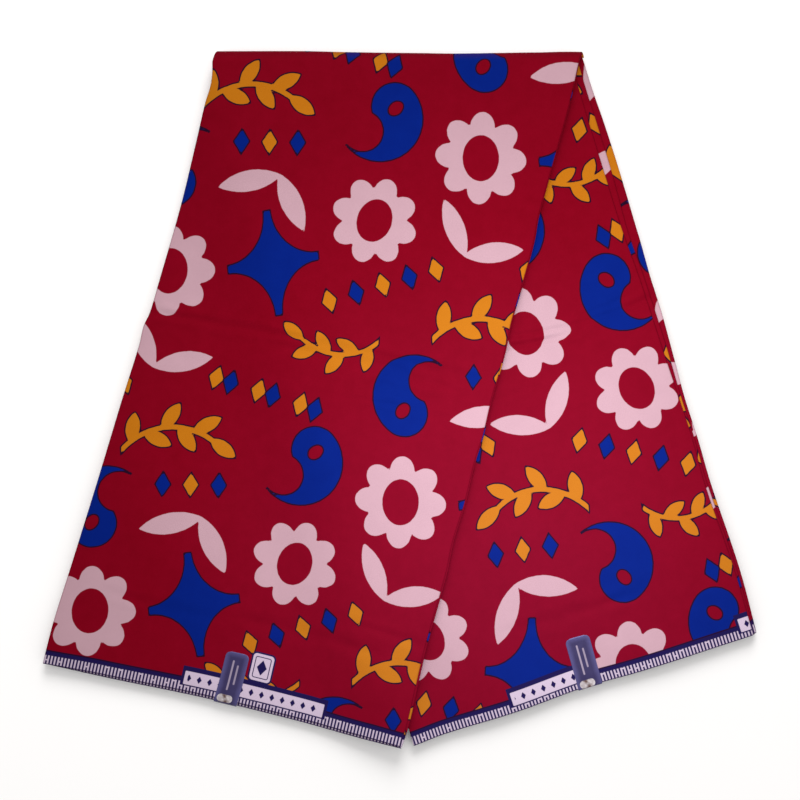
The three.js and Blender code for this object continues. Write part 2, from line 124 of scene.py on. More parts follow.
LEVEL = level(0)
MIDDLE_FOLD_STEP = Table(
    at=(0, 0.1, 0.2, 0.3, 0.4, 0.5, 0.6, 0.8, 1),
    out=(6.0, 7.1, 6.8, 4.8, 4.4, 4.2, 2.2, 2.6, 2.0),
)
THIRD_FOLD_STEP = Table(
    at=(0, 0.05, 0.1, 0.18, 0.3, 0.37, 0.44, 0.52, 0.6, 0.75, 0.9, 1),
    out=(11.5, 12.6, 13.9, 14.4, 13.4, 10.4, 9.9, 7.8, 5.2, 5.8, 5.2, 3.9),
)
SECOND_FOLD_STEP = Table(at=(0, 0.3, 0.6, 1), out=(0.8, 1.1, 1.2, 2.2))
FOLD_BOW = Table(
    at=(0, 0.235, 0.34, 0.45, 0.56, 0.645, 0.727, 0.836, 0.89, 0.945, 1),
    out=(1.1, 1.2, 0.4, -0.2, -0.6, -1.0, -0.7, -0.1, 0.1, 0.6, 0.6),
)
TOP_SELVEDGE_STEP = Table(at=(0, 0.16, 0.9, 1), out=(0, -2.2, -2.6, -1.6))

FRONT = Half(
    fold_left=(-167.6, FOLD_Y),
    fold_right=(159.6, FOLD_Y),
    selvedge_left=(-321.3, -237.15),
    selvedge_right=(-1.35, -311.8),
    left=Table(
        at=(0, 0.017, 0.037, 0.067, 0.129, 0.229, 0.36, 0.412, 0.436, 0.466, 0.562, 0.695,
            0.828, 0.93, 1),
        out=(0, -2.6, -4.2, -3.7, -5.0, -6.8, -6.6, -6.3, -4.2, -5.0, -3.5, -2.4, -0.5, 1.1,
             0),
    ),
    right=Table(
        at=(0, 0.068, 0.225, 0.262, 0.34, 0.379, 0.43, 0.49, 0.545, 0.58, 0.64, 0.7, 0.745,
            0.855, 0.966, 1),
        out=(0, 1.4, 0, 1.7, 1.1, 0.4, 1.7, 0.8, 1.6, 0.4, 1.1, -0.5, 0.8, -0.5, 1.4, 0),
    ),
    selvedge=Table(at=(0, 0.2, 0.45, 0.7, 0.86, 1), out=(0, -0.6, -2.6, -1.6, 0, 0)),
    widest_step=SECOND_FOLD_STEP,
    top=FRONT_TOP,
    drapes=True,
    slant=STRIP_SLANT,
    creases=(
        Crease((-226, 79), (84, 16), 4, 3.4, 0.62, 0.4, 0.05, 0.9),
        Crease((-132, 52), (84, 8), 3, 6.0, 1.5, 0.35, 0.3),
        Crease((-60, 34), (86, -2), 2, 3.0, 0.55, 0.3, 0.3),
        Crease((-212, 44), (-150, 28), -2, 6.0, 0.32, 0.15, 0.4),
        Crease((-58, 4), (20, -10), 1, 2.2, 0.3, 0.2, 0.35),
        Crease((36, 6), (68, 1), 0, 1.9, 0.24, 0.15, 0.4),
        Crease((18, -12), (50, -18), 0, 2.4, 0.22, 0.1, 0.4),
        Crease((-278, -168), (-150, -200), -2, 4.4, 0.28, 0.15, 0.25),
        Crease((-170, -192), (6, -236), 3, 5.4, 0.44, 0.2, 0.25),
        Crease((-60, -196), (34, -226), 2, 3.4, 0.4, 0.22, 0.35),
        Crease((-40, 160), (96, 132), 5, 7.0, 0.3, 0.1, 0.4),
        Crease((-186, 210), (-60, 188), -4, 6.0, 0.26, 0.1, 0.4),
        Crease((-150, 262), (40, 250), 3, 8.0, 0.3, 0.1, 0.4),
    ),
    seed=3,
)
BACK = Half(
    fold_left=(-160, FOLD_Y),
    fold_right=(154.1, FOLD_Y),
    selvedge_left=(12.6, -311.4),
    selvedge_right=(317.73, -211.95),
    left=LEVEL,
    right=Table(
        at=(0, 0.07, 0.18, 0.29, 0.37, 0.52, 0.65, 0.74, 0.89, 1),
        out=(0, -1.1, -1.7, -2.1, -0.3, 0.3, 1.4, -0.3, 1.6, 0),
    ),
    selvedge=Table(at=(0, 0.1, 0.3, 0.5, 0.68, 1), out=(0, -1.6, -0.4, -2.4, -0.4, 0)),
    widest_step=THIRD_FOLD_STEP,
    top=BACK_TOP,
    drapes=False,
    slant=-STRIP_SLANT,
    creases=(
        Crease((92, 57), (152, 66), -1, 2.4, 0.8, 0.3, 0.25),
        Crease((84, 47), (164, 64), -3, 2.8, 1.6, 0.6, 0.15, 2.4),
        Crease((134, 61), (240, 98), -2, 3.2, 1.25, 0.45, 0.2, 1.5),
        Crease((150, 70), (226, 101), 0, 3.0, 0.75, 0.3, 0.3),
        Crease((88, 3), (130, 13), 0, 3.0, 0.22, 0.15, 0.35),
        Crease((96, -96), (226, -62), 4, 7.0, 0.25, 0.1, 0.4),
        Crease((70, -214), (250, -160), -4, 5.0, 0.55, 0.25, 0.35),
        Crease((150, 170), (214, 196), 2, 5.0, 0.25, 0.1, 0.4),
    ),
    seed=8,
)

# ---------------------------------------------------------------- numbers and curves


def lerp(start, end, share):
    return start + (end - start) * share


def smoothstep(value, low, high):
    share = np.clip((value - low) / (high - low), 0, 1)
    return share * share * (3 - 2 * share)


def nearness(distance, reach):
    """1 at an edge, falling evenly to 0 at the reach."""
    return np.clip(1 - distance / reach, 0, 1)


def unit(vectors):
    return vectors / np.maximum(np.linalg.norm(vectors, axis=-1, keepdims=True), 1e-9)


def from_table(table, at):
    """A value between the entries of a table, on a smooth curve through them."""
    knots, values = np.asarray(table.at, float), np.asarray(table.out, float)
    last = len(knots) - 1
    before = np.maximum(np.arange(last + 1) - 1, 0)
    after = np.minimum(np.arange(last + 1) + 1, last)
    slopes = (values[after] - values[before]) / (knots[after] - knots[before])
    i = np.clip(np.searchsorted(knots, at) - 1, 0, last - 1)
    step = knots[i + 1] - knots[i]
    u = np.clip((at - knots[i]) / step, 0, 1)
    value = values[i] * (1 + 2 * u) * (1 - u) ** 2 + values[i + 1] * (3 - 2 * u) * u**2
    bend = slopes[i] * u * (1 - u) ** 2 - slopes[i + 1] * (1 - u) * u**2
    return value + step * bend


# ---------------------------------------------------------------- plan of a half


def half_size(half):
    """Width along the fold and length down the left edge."""
    return half.fold_right[0] - half.fold_left[0], FOLD_Y - half.selvedge_left[1]


def edge_point(start, end, table, at, side):
    """A point on an edge. side is -1 where the outside is on the left of the way along it."""
    start, end = np.asarray(start, float), np.asarray(end, float)
    along = unit(end - start)
    outward = np.array((along[1], -along[0])) * side
    straight = start + (end - start) * at[..., None]
    return straight + outward * from_table(table, at)[..., None]


def plan_point(half, across, down):
    """A point in plan: across runs from the left edge to the right, down from the fold."""
    left = edge_point(half.fold_left, half.selvedge_left, half.left, down, 1)
    right = edge_point(half.fold_right, half.selvedge_right, half.right, down, -1)
    ends = half.selvedge_left, half.selvedge_right
    bow = edge_point(*ends, half.selvedge, across, 1) - edge_point(*ends, LEVEL, across, 1)
    return lerp(left, right, across[..., None]) + bow * down[..., None]


def outward_over_side(half, across, down):
    inner = plan_point(half, lerp(across, 0.5, EDGE_SHARE), down)
    return unit(plan_point(half, across, down) - inner)


def outward_over_selvedge(half, across, down):
    return unit(plan_point(half, across, down) - plan_point(half, across, down - EDGE_SHARE))


def past_tucks(half, point):
    """A plan point as it would lie if no cloth were lost in the creases."""
    for crease in half.creases:
        if crease.tuck:
            over, _, aside, left = beside_crease(crease, point)
            past = smoothstep(aside, -TUCK_HALF_WIDTH, TUCK_HALF_WIDTH)
            reach = smoothstep(TUCK_REACH - np.abs(aside), 0, TUCK_REACH - TUCK_HALF_WIDTH)
            point = point + over * (crease.tuck * past * left * reach)[..., None]
    return point


def cloth_place(half, point, across, selvedge_step):
    """Where a plan point is on the cloth: along the selvedge from its middle, and up from it."""
    start, end = np.array(half.selvedge_left), np.array(half.selvedge_right)
    width = np.linalg.norm(end - start)
    along = (end - start) / width
    inward = np.array((-along[1], along[0]))
    offset = past_tucks(half, point) - start
    up = offset @ inward + from_table(half.selvedge, across) + selvedge_step
    return np.stack((offset @ along - width / 2, up), axis=-1)


# ---------------------------------------------------------------- heights on a half


def press_at(half, across, down, side_step, selvedge_step):
    """Each stack is pressed flatter towards the outermost of its edges."""
    width, length = half_size(half)
    from_edge = np.minimum(across * width, (1 - down) * length - selvedge_step)
    right = (1 - across) * width + from_table(half.widest_step, down) - side_step
    outside = 1 - np.clip(np.minimum(from_edge, right) / EDGE_REACH, 0, 1)
    return 1 - EDGE_PRESS * smoothstep(down * length, 0, PRESS_FADE) * outside**2


def slack_share(half, across, down):
    width, length = half_size(half)
    from_edge = np.minimum(np.minimum(across, 1 - across) * width, (1 - down) * length)
    return smoothstep(np.minimum(from_edge, down * length), SLACK_START, SLACK_END)


def underside(half, point):
    """The front half lies on the back half and drapes down to the surface on its left."""
    if not half.drapes:
        return np.zeros(point.shape[:-1])
    along = unit(np.array(BACK.selvedge_left) - np.array(BACK.fold_left))
    offset = point - np.array(BACK.fold_left)
    outside = offset[..., 0] * along[1] - offset[..., 1] * along[0]
    past = smoothstep(outside, DRAPE_START, DRAPE_START + DRAPE_RUN)
    return FRONT_LIFT * (1 - past * smoothstep(FOLD_Y - point[..., 1], 0, DRAPE_FADE))


def beside_crease(crease, point):
    """The way over a crease, and for a point its run along it, how far aside it lies and
    how much of the crease is left there."""
    start, end = np.array(crease.start, float), np.array(crease.end, float)
    length = np.linalg.norm(end - start)
    along = (end - start) / length
    over = np.array((-along[1], along[0]))
    offset = point - start
    share = offset @ along / length
    aside = offset @ over - crease.bow * 4 * share * (1 - share)
    left = smoothstep(share, 0, crease.fade) * smoothstep(1 - share, 0, crease.fade)
    return over, length * share, aside, left


def crease_height(crease, point):
    """A soft trough with a lip on each side, deeper in some places than in others."""
    _, run, aside, ends = beside_crease(crease, point)
    uneven = 0.78 + 0.16 * np.sin(run / 17 + crease.start[0]) + 0.1 * np.sin(run / 6.3)
    narrow = aside / (crease.half_width * (0.85 + 0.3 * np.sin(2 + run / 29) ** 2))
    trough = np.exp(-(narrow**2))
    lips = np.exp(-((narrow - 2) ** 2)) + 0.6 * np.exp(-((narrow + 2) ** 2))
    return (crease.lip * lips - crease.depth * trough) * ends * uneven


def rumple_height(half, point, settings):
    """Broad, shallow waves in pressed cloth, with a few finer ones."""
    random = np.random.default_rng(half.seed)
    height = np.zeros(point.shape[:-1])
    for _ in range(settings.rumple_waves):
        length = settings.rumple_length * random.uniform(0.35, 1.5)
        way = random.uniform(0, math.pi)
        phase = random.uniform(0, 2 * math.pi)
        run = point[..., 0] * math.cos(way) + point[..., 1] * math.sin(way)
        height += length * np.sin(2 * math.pi * run / length + phase)
    return settings.rumple_height * height / (settings.rumple_length * settings.rumple_waves**0.5)


def relief(half, point, settings):
    start = smoothstep(FOLD_Y - point[..., 1], 0, RUMPLE_START)
    height = rumple_height(half, point, settings) * start
    for crease in half.creases:
        height += settings.crease_scale * crease_height(crease, point)
    return height


# ---------------------------------------------------------------- surfaces of a layer

# What a layer's edges do: how far they stand out on the left, the right and the selvedge.
Steps = namedtuple("Steps", "left right selvedge")
Roll = namedtuple("Roll", "end steps")


def steps_at(steps, across, down):
    """How far out a point stands over its nearer side and over the selvedge."""
    left = steps.left * nearness(across, STEP_REACH)
    right = from_table(steps.right, down) * nearness(1 - across, STEP_REACH)
    return left + right, from_table(steps.selvedge, across) * nearness(1 - down, SELVEDGE_REACH)


def layer_surface(half, across, down, height, steps, settings):
    """Points of a layer at a height in the stack, and their places on the cloth."""
    side, end = steps_at(steps, across, down)
    point = plan_point(half, across, down)
    point = point + outward_over_side(half, across, down) * side[..., None]
    point = point + outward_over_selvedge(half, across, down) * end[..., None]
    z = underside(half, point) + height * press_at(half, across, down, side, end)
    z = z + relief(half, point, settings) * (height / half.top)
    place = cloth_place(half, point, across, from_table(steps.selvedge, across))
    return np.concatenate((point, z[..., None]), axis=-1), place


def rolled_surface(half, across, angles, height, steps, settings):
    """The same layer where it turns over the top fold."""
    flat = np.zeros_like(across)
    start, place = layer_surface(half, across, flat, height, steps, settings)
    radius = (start[..., 2] - FOLD_RADIUS)[None, :]
    angle = angles[:, None]
    x = start[None, :, 0] + half.slant * FOLD_RADIUS * angle
    y = FOLD_Y + (radius + from_table(FOLD_BOW, across)) * np.sin(angle)
    z = FOLD_RADIUS + radius * np.cos(angle)
    run = FOLD_RADIUS * angle * math.hypot(1, half.slant)
    place = place[None] + np.stack((np.zeros_like(x), run * np.ones_like(x)), axis=-1)
    return np.stack((x, y, z), axis=-1), place


def fold_reach(height, radius):
    """How far past the fold's axis a hidden layer reaches at a height."""
    if height < TOE_HEIGHT:
        return lerp(TOE_REACH, fold_reach(TOE_HEIGHT, radius), height / TOE_HEIGHT)
    return math.sqrt(max(radius**2 - (height - FOLD_RADIUS) ** 2, 0))


def sheet_face(half, columns, rows, height, steps, settings, roll, reach):
    """One face of a sheet as a grid, from the selvedge up to the fold and over it."""
    across, down = np.meshgrid(columns, rows[::-1])
    points, places = layer_surface(half, across, down, height, steps, settings)
    near_fold = nearness(down * half_size(half)[1], FOLD_PULL)
    points[..., 0] += half.slant * reach * near_fold
    points[..., 1] += reach * near_fold
    if roll:
        angles = np.linspace(0, roll.end, roll.steps + 1)[1:]
        turned_points, turned_places = rolled_surface(
            half, columns, angles, height, steps, settings)
        points = np.concatenate((points, turned_points))
        places = np.concatenate((places, turned_places))
    return points, places


# ---------------------------------------------------------------- the print

TILE_WIDTH = 250.0
TILE_HEIGHT = 316.0  # each column of tiles is half a tile above the one on its left
FAR = 9.0  # distances past this aren't told apart
LOZENGE_SIZE = 9.5
LOZENGE_PAIR_PITCH = 13.6

# The numbers in the shapes are shares of a motif's size.


def turned(x, y, degrees):
    angle = math.radians(degrees)
    return x * math.cos(angle) + y * math.sin(angle), y * math.cos(angle) - x * math.sin(angle)


def disc(x, y, radius):
    return np.hypot(x, y) - radius


def oval(x, y, half_width, half_height):
    near = np.hypot(x / half_width, y / half_height)
    slope = np.hypot(x / half_width**2, y / half_height**2) + 1e-9
    return near * (near - 1) / slope


def leaf(x, y, half_width, half_length):
    radius = (half_length**2 + half_width**2) / (2 * half_width)
    offset = radius - half_width
    return np.maximum(disc(x + offset, y, radius), disc(x - offset, y, radius))


def rosette(x, y, size):
    """Eight round petals round an oval eye."""
    shape = disc(x, y, 0.74 * size)
    for petal in range(8):
        px, py = turned(x, y, 45 * petal)
        shape = np.minimum(shape, oval(px, py - 0.66 * size, 0.27 * size, 0.34 * size))
    return np.maximum(shape, -oval(x, y, 0.40 * size, 0.50 * size))


def star(x, y, size):
    """A star with four hollow sides."""
    x = x / 0.86
    points = np.maximum(np.abs(x), np.abs(y)) - size
    hollows = disc(np.abs(x) - size, np.abs(y) - size, 0.93 * size)
    return np.maximum(points, -hollows) * 0.93


def paisley(x, y, size):
    """A drop with a curled tail and an eye."""
    head = disc(x, y - 0.46 * size, 0.54 * size)
    tail = np.maximum(disc(x, y, size), -x)
    bite = disc(x + 0.02 * size, y + 0.5 * size, 0.5 * size)
    eye = oval(x - 0.05 * size, y - 0.44 * size, 0.17 * size, 0.22 * size)
    return np.maximum(np.maximum(np.minimum(head, tail), -bite), -eye)


def twin_leaves(x, y, size):
    """Two leaves that spread from one point."""
    pair = turned(x, y, -52), turned(x, y, 52)
    return np.minimum(*(leaf(lx, ly - 0.6 * size, 0.21 * size, 0.64 * size) for lx, ly in pair))


def sprig(x, y, size):
    """A bowed stem with leaves on both sides and one at its tip."""
    bend = 1.15 * size
    stem = np.abs(np.hypot(x, y + bend) - bend) - 0.042 * size
    shape = np.maximum(np.maximum(stem, np.abs(x) - 0.8 * size), -y - bend)
    for at, lean in ((-0.58, 46), (-0.34, -50), (-0.06, 48), (0.18, -50), (0.42, 46), (0.72, 0)):
        lx, ly = x - bend * math.sin(at), y - bend * math.cos(at) + bend
        lx, ly = turned(lx, ly, lean - math.degrees(at) - 90)
        shape = np.minimum(shape, leaf(lx, ly - 0.24 * size, 0.12 * size, 0.27 * size))
    return shape


def lozenge(x, y, size):
    half_width = 0.62 * size
    slope = half_width * size / math.hypot(half_width, size)
    return (np.abs(x) / half_width + np.abs(y) / size - 1) * slope - 0.6


Motif = namedtuple("Motif", "shape colour u v turn size")


def lozenge_row(u, v, turn, pitch, colours):
    """A row of lozenges, or of touching pairs where an entry names two colours."""
    way = math.cos(math.radians(turn)), math.sin(math.radians(turn))
    row = []
    for place, names in enumerate(colours):
        for member, colour in enumerate(names):
            run = place * pitch + (member - (len(names) - 1) / 2) * LOZENGE_PAIR_PITCH
            centre = u + run * way[0], v + run * way[1]
            row.append(Motif(lozenge, colour, *centre, turn, LOZENGE_SIZE))
    return row


AMBER, BLUE, BOTH = ("amber",), ("blue",), ("amber", "blue")
PRINT = [
    Motif(rosette, "pink", 46, 58, 10, 41),
    Motif(star, "blue", 136, 82, 20, 47),
    Motif(rosette, "pink", 216, 138, -8, 39),
    Motif(paisley, "blue", 38, 152, 156, 38),
    Motif(twin_leaves, "pink", 124, 160, 164, 45),
    Motif(sprig, "amber", 76, 234, 16, 52),
    Motif(paisley, "blue", 200, 228, -38, 38),
    Motif(twin_leaves, "pink", 52, 286, -18, 43),
    Motif(sprig, "amber", 212, 14, 190, 44),
    *lozenge_row(116, 286, -6, 40, (BOTH, BOTH, BOTH)),
    *lozenge_row(193, 59, 30, 25, (AMBER, BLUE, AMBER, BLUE, AMBER)),
    *lozenge_row(84, 183, 10, 25, (BLUE, AMBER, BLUE)),
]

# Where a layer's print starts on the repeat, and whether the cloth was turned over.
PrintPlace = namedtuple("PrintPlace", "u v mirrored")


def print_distances(places, start):
    """Distance in millimetres to the nearest motif of each colour, negative inside it."""
    u = (-places[..., 0] if start.mirrored else places[..., 0]) + start.u
    v = places[..., 1] + start.v
    distances = {colour: np.full(u.shape, FAR) for colour in ("pink", "blue", "amber")}
    first_u, last_u = (math.floor(edge / TILE_WIDTH) for edge in (u.min(), u.max()))
    first_v, last_v = (math.floor(edge / TILE_HEIGHT) for edge in (v.min(), v.max()))
    for column in range(first_u - 1, last_u + 2):
        for row in range(first_v - 2, last_v + 2):
            lift = (column % 2) * TILE_HEIGHT / 2
            for motif in PRINT:
                x = u - motif.u - column * TILE_WIDTH
                y = v - motif.v - row * TILE_HEIGHT - lift
                near = np.hypot(x, y) < 1.5 * motif.size + FAR
                if near.any():
                    at = turned(x[near], y[near], motif.turn)
                    known = distances[motif.colour]
                    known[near] = np.minimum(known[near], motif.shape(*at, motif.size))
    return distances


# ---------------------------------------------------------------- closed shells

SELVEDGE_GROOVE = 0.55  # how far the two plies of a selvedge round out, as a share
# Painted shade: the top fold's outline and the lines along the folded edges are darkened in the
# cloth's colour, standing in for the shade and the contact shadow there.
ROLL_SHADE = 0.9
ROLL_SHADE_REACH = FOLD_Y + 1, FOLD_Y + 9  # the top fold is darkest at its outline
BESIDE_EDGE_SHADE = 0.5


def perimeter(grid):
    """The entries round a grid, in order."""
    return np.concatenate((grid[0], grid[1:, -1], grid[-1, -2::-1], grid[-2:0:-1, 0]))


def over_shell(grid, ring_count):
    """A grid's values for a shell's points: its upper face, its rings and its lower face."""
    size = grid.shape[2:]
    rim = [perimeter(grid)] * ring_count
    return np.concatenate((grid.reshape(-1, *size), *rim, grid[::2, ::2].reshape(-1, *size)))


def rim_rings(upper, lower, count, round_out, open_end):
    """Rings round a sheet's edge. Its sides are folded, and its selvedge is two plies that
    lie apart, so it has a groove there."""
    middle = (upper + lower) / 2
    rows, columns = middle.shape[:2]
    inner_rows = np.clip(np.arange(rows), 1, rows - 2)
    inner_columns = np.clip(np.arange(columns), 1, columns - 2)
    outward = perimeter(unit(middle - middle[inner_rows][:, inner_columns]))
    at_end = np.zeros((rows, columns, 1))
    at_end[0] = 1.0 if open_end else 0.0
    grooved = perimeter(at_end)
    top, bottom = perimeter(upper), perimeter(lower)
    rings = []
    for turn in math.pi * np.arange(1, count + 1) / (count + 1):
        two_plies = SELVEDGE_GROOVE * abs(math.sin(2 * turn))
        bulge = round_out * (math.sin(turn) * (1 - grooved) + two_plies * grooved)
        rings.append(lerp(top, bottom, (1 - math.cos(turn)) / 2) + outward * bulge)
    return rings


def stitched(fine, coarse):
    """Triangles from a ring to one with half as many points."""
    if len(fine) != 2 * len(coarse):
        raise RuntimeError("the lower ring doesn't have half as many points as the upper one")
    here, between, after = fine[0::2], fine[1::2], np.roll(fine, -2)[0::2]
    next_coarse = np.roll(coarse, -1)
    corners = (
        (here, coarse, between), (between, coarse, next_coarse), (between, next_coarse, after))
    return np.concatenate([np.stack(triangle, axis=1) for triangle in corners])


def grid_quads(ids, upward):
    a, b, c, d = ids[:-1, :-1], ids[:-1, 1:], ids[1:, 1:], ids[1:, :-1]
    corners = (a, b, c, d) if upward else (a, d, c, b)
    return np.stack([corner.ravel() for corner in corners], axis=1)


def ring_quads(above, below):
    return np.stack((above, below, np.roll(below, -1), np.roll(above, -1)), axis=1)


def signed_volume(points, faces):
    """Six times the volume under some faces of a closed shell."""
    a = points[faces[:, 0]]
    pairs = [(points[faces[:, k]], points[faces[:, k + 1]]) for k in range(1, faces.shape[1] - 1)]
    return sum(np.einsum("ij,ij->i", a, np.cross(b, c)).sum() for b, c in pairs)


def build_mesh(name, points, faces, places, values):
    """A smooth mesh in metres, with its places on the cloth as a UV map."""
    mesh = bpy.data.meshes.new(name)
    mesh.from_pydata((points * MM).tolist(), [], faces)
    mesh.polygons.foreach_set("use_smooth", np.ones(len(mesh.polygons), bool))
    corners = np.zeros(len(mesh.loops), np.int32)
    mesh.loops.foreach_get("vertex_index", corners)
    layer = mesh.uv_layers.new(name="cloth")
    layer.data.foreach_set("uv", (places * MM)[corners].astype(np.float32).ravel())
    for attribute, array in values.items():
        kind, field = ("FLOAT_VECTOR", "vector") if array.ndim == 2 else ("FLOAT", "value")
        data = mesh.attributes.new(attribute, kind, "POINT").data
        data.foreach_set(field, array.astype(np.float32).ravel())
    mesh.update()
    mesh.validate()
    return mesh


def painted_edge_shade(upper, rings):
    """How much painted shade each point gets: 1 on a folded edge, less on the line beside it and
    0 elsewhere, in the shell's order.
    """
    grid = ROLL_SHADE * smoothstep(upper[..., 1], *ROLL_SHADE_REACH)
    grid[0] = grid[-1] = BESIDE_EDGE_SHADE
    grid[:, 0] = grid[:, -1] = BESIDE_EDGE_SHADE
    around = np.ones(len(perimeter(grid)) * len(rings))
    return np.concatenate((grid.ravel(), around, np.zeros(grid[::2, ::2].size)))


def closed_shell(name, upper, lower, places, rings, start=None, values=None):
    """A closed shell between a fine upper face and a lower one at half its density."""
    lower = lower[::2, ::2]
    upper_ids = np.arange(upper[..., 0].size).reshape(upper.shape[:2])
    ring_size = len(perimeter(upper_ids))
    first_lower = upper_ids.size + len(rings) * ring_size
    ring_ids = np.arange(upper_ids.size, first_lower).reshape(len(rings), ring_size)
    lower_ids = first_lower + np.arange(lower[..., 0].size).reshape(lower.shape[:2])
    loops = [perimeter(upper_ids), *ring_ids]
    quads = [grid_quads(upper_ids, True), grid_quads(lower_ids, False)]
    quads += [ring_quads(above, below) for above, below in zip(loops, loops[1:])]
    quads = np.concatenate(quads)
    triangles = stitched(loops[-1], perimeter(lower_ids))
    points = np.concatenate((upper.reshape(-1, 3), *rings, lower.reshape(-1, 3)))
    faces = quads.tolist() + triangles.tolist()
    if signed_volume(points, quads) + signed_volume(points, triangles) < 0:
        faces = [face[::-1] for face in faces]
    cloth = over_shell(places, len(rings))
    known = dict(values or {})
    if start:
        known.update(print_distances(cloth, start), edge=painted_edge_shade(upper, rings))
    return build_mesh(name, points, faces, cloth, known)


def new_object(name, data):
    made = bpy.data.objects.new(name, data)
    bpy.context.scene.collection.objects.link(made)
    return made


def new_piece(name, mesh, material, node):
    """A finished piece at the origin that stands for its CAD node."""
    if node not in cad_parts:
        raise RuntimeError(f"the frame has no node {node} for {name} to stand for")
    piece = new_object(name, mesh)
    cloth_collection().objects.link(piece)
    if not mesh.materials:
        mesh.materials.append(material)
    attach(piece, "root")
    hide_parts(node)
    return piece


def cloth_collection():
    """The pieces that the key light falls on. It leaves the floor even."""
    name = "wax_cloth"
    return bpy.data.collections.get(name) or bpy.data.collections.new(name)


# ---------------------------------------------------------------- node trees


def operation(name):
    return lambda first, *others: first.maths(name, *others)


class Wire:
    """A node's output, to reckon with as with a number."""

    def __init__(self, socket):
        self.socket, self.tree = socket, socket.id_data

    def maths(self, name, *others):
        inputs = enumerate((self, *others))
        return add_node(self.tree, "ShaderNodeMath", inputs, operation=name)

    def __rsub__(self, other):
        return self * -1.0 + other

    __add__ = __radd__ = operation("ADD")
    __sub__ = operation("SUBTRACT")
    __mul__ = __rmul__ = operation("MULTIPLY")
    __truediv__ = operation("DIVIDE")
    __gt__ = operation("GREATER_THAN")
    __lt__ = operation("LESS_THAN")
    __abs__ = operation("ABSOLUTE")
    highest = operation("MAXIMUM")
    lowest = operation("MINIMUM")
    root = operation("SQRT")
    sine = operation("SINE")
    floor = operation("FLOOR")
    fraction = operation("FRACT")


def set_inputs(node, inputs):
    """Give a node's inputs their values, or link them to wires."""
    for key, value in dict(inputs).items():
        if isinstance(value, Wire):
            node.id_data.links.new(value.socket, node.inputs[key])
        else:
            node.inputs[key].default_value = value


def add_node(tree, kind, inputs=(), out=0, **settings):
    """A node with its settings and inputs, given as one of its outputs."""
    node = tree.nodes.new(kind)
    for name, value in settings.items():
        setattr(node, name, value)
    set_inputs(node, inputs)
    return Wire(node.outputs[out])


def fade(value, start, end):
    """1 up to start, falling to 0 at end."""
    inputs = {"Value": value, "From Min": start, "From Max": end, "To Min": 1.0, "To Max": 0.0}
    return add_node(value.tree, "ShaderNodeMapRange", inputs, "Result")


def inside(distance, soft=0.22):
    """1 where a distance is negative, with a soft edge."""
    return fade(distance, -soft, soft)


def painted(under, colour, share, blend="MIX"):
    """One colour laid over another."""
    under, colour = (c if isinstance(c, Wire) else (*c, 1.0) for c in (under, colour))
    return add_node(
        share.tree, "ShaderNodeMix", {0: share, 6: under, 7: colour}, 2, data_type="RGBA",
        blend_type=blend)


def noise(vector, scale, detail=2.0, rough=0.5):
    inputs = {"Vector": vector, "Scale": scale, "Detail": detail, "Roughness": rough}
    return add_node(vector.tree, "ShaderNodeTexNoise", inputs)


def white_noise(number):
    return add_node(
        number.tree, "ShaderNodeTexWhiteNoise", {"W": number}, "Value", noise_dimensions="1D")


def attribute(tree, name):
    return add_node(
        tree, "ShaderNodeAttribute", (), "Fac", attribute_type="GEOMETRY", attribute_name=name)


def box_distance(u, v, centre, half, corner):
    """Distance to a rectangle with round corners, negative inside it."""
    beyond = [
        abs(value - middle) - (reach - corner)
        for value, middle, reach in zip((u, v), centre, half)
    ]
    along, up = (side.highest(0.0) for side in beyond)
    within = beyond[0].highest(beyond[1]).lowest(0.0)
    return (along * along + up * up).root() + within - corner


def new_finish(name, roughness, specular):
    material = bpy.data.materials.new(name)
    material.use_nodes = True
    shader = material.node_tree.nodes["Principled BSDF"]
    set_inputs(shader, {"Roughness": roughness, "Specular IOR Level": specular})
    return material, shader


def cloth_millimetres(tree):
    """The place on the cloth, as a vector and as its two parts."""
    uv = add_node(tree, "ShaderNodeUVMap", uv_map="cloth")
    place = add_node(tree, "ShaderNodeVectorMath", {0: uv, "Scale": 1 / MM}, operation="SCALE")
    u, v = (add_node(tree, "ShaderNodeSeparateXYZ", {0: place}, part) for part in (0, 1))
    return place, u, v


def add_bump(shader, height, strength, distance):
    inputs = {"Strength": strength, "Distance": distance * MM, "Height": height}
    set_inputs(shader, {"Normal": add_node(shader.id_data, "ShaderNodeBump", inputs)})


# ---------------------------------------------------------------- the selvedge's print

TICK_PITCH = 3.06
TICK_HALF_WIDTH = 0.72
TICK_FOOT, TICK_LENGTH = 0.5, 8.0
TICK_SOFT = 0.3
# Of each pair of ticks, a share isn't joined, and the bar of a share stands higher.
UNJOINED_SHARE, HIGH_BAR_SHARE = 0.45, 0.28
BAR_HEIGHT, BAR_RISE, BAR_HALF_HEIGHT = 3.9, 3.1, 0.6

BAND_TOP = 12.8
BAND_LINE, BAND_LINE_FADE = 0.5, (0.2, 0.9)  # the dark line along the band's upper edge
PANEL_FOOT, PANEL_HEAD = 5.8, 18.0  # heights above the selvedge
PANEL_FRAME_TOP = 22.4
PANEL_FRAME_SIDE = 2.7
PANEL_CORNER, FRAME_CORNER = 0.8, 0.6
UNDER_PANEL = 1.2  # how far the ticks end below a panel
ROW_PITCH = 9.6
ROW_HALF_WIDTH, ROW_HALF_HEIGHT = 2.3, 3.4
ROW_MARGIN = 3.0
ROW_SOFT = 0.12
OUTLINE = 1.25  # how far a drawn outline stands round a motif

# Each panel in the selvedge, as the places where it starts and ends, and the badge above it.
FRONT_PANELS = ((-37.7, 91.0),)
BACK_PANELS = (-64.0, 8.0), (151.5, 240.0)
Badge = namedtuple("Badge", "centre half")
FRONT_BADGE = Badge((28.4, 35.6), (9.6, 12.2))
BADGE_LOZENGE, BADGE_LOZENGE_SOFT = (4.6, 7.0), 0.06
BADGE_LINE, BADGE_LINE_FADE = 0.6, (0.2, 0.6)  # the thin frame inside the badge
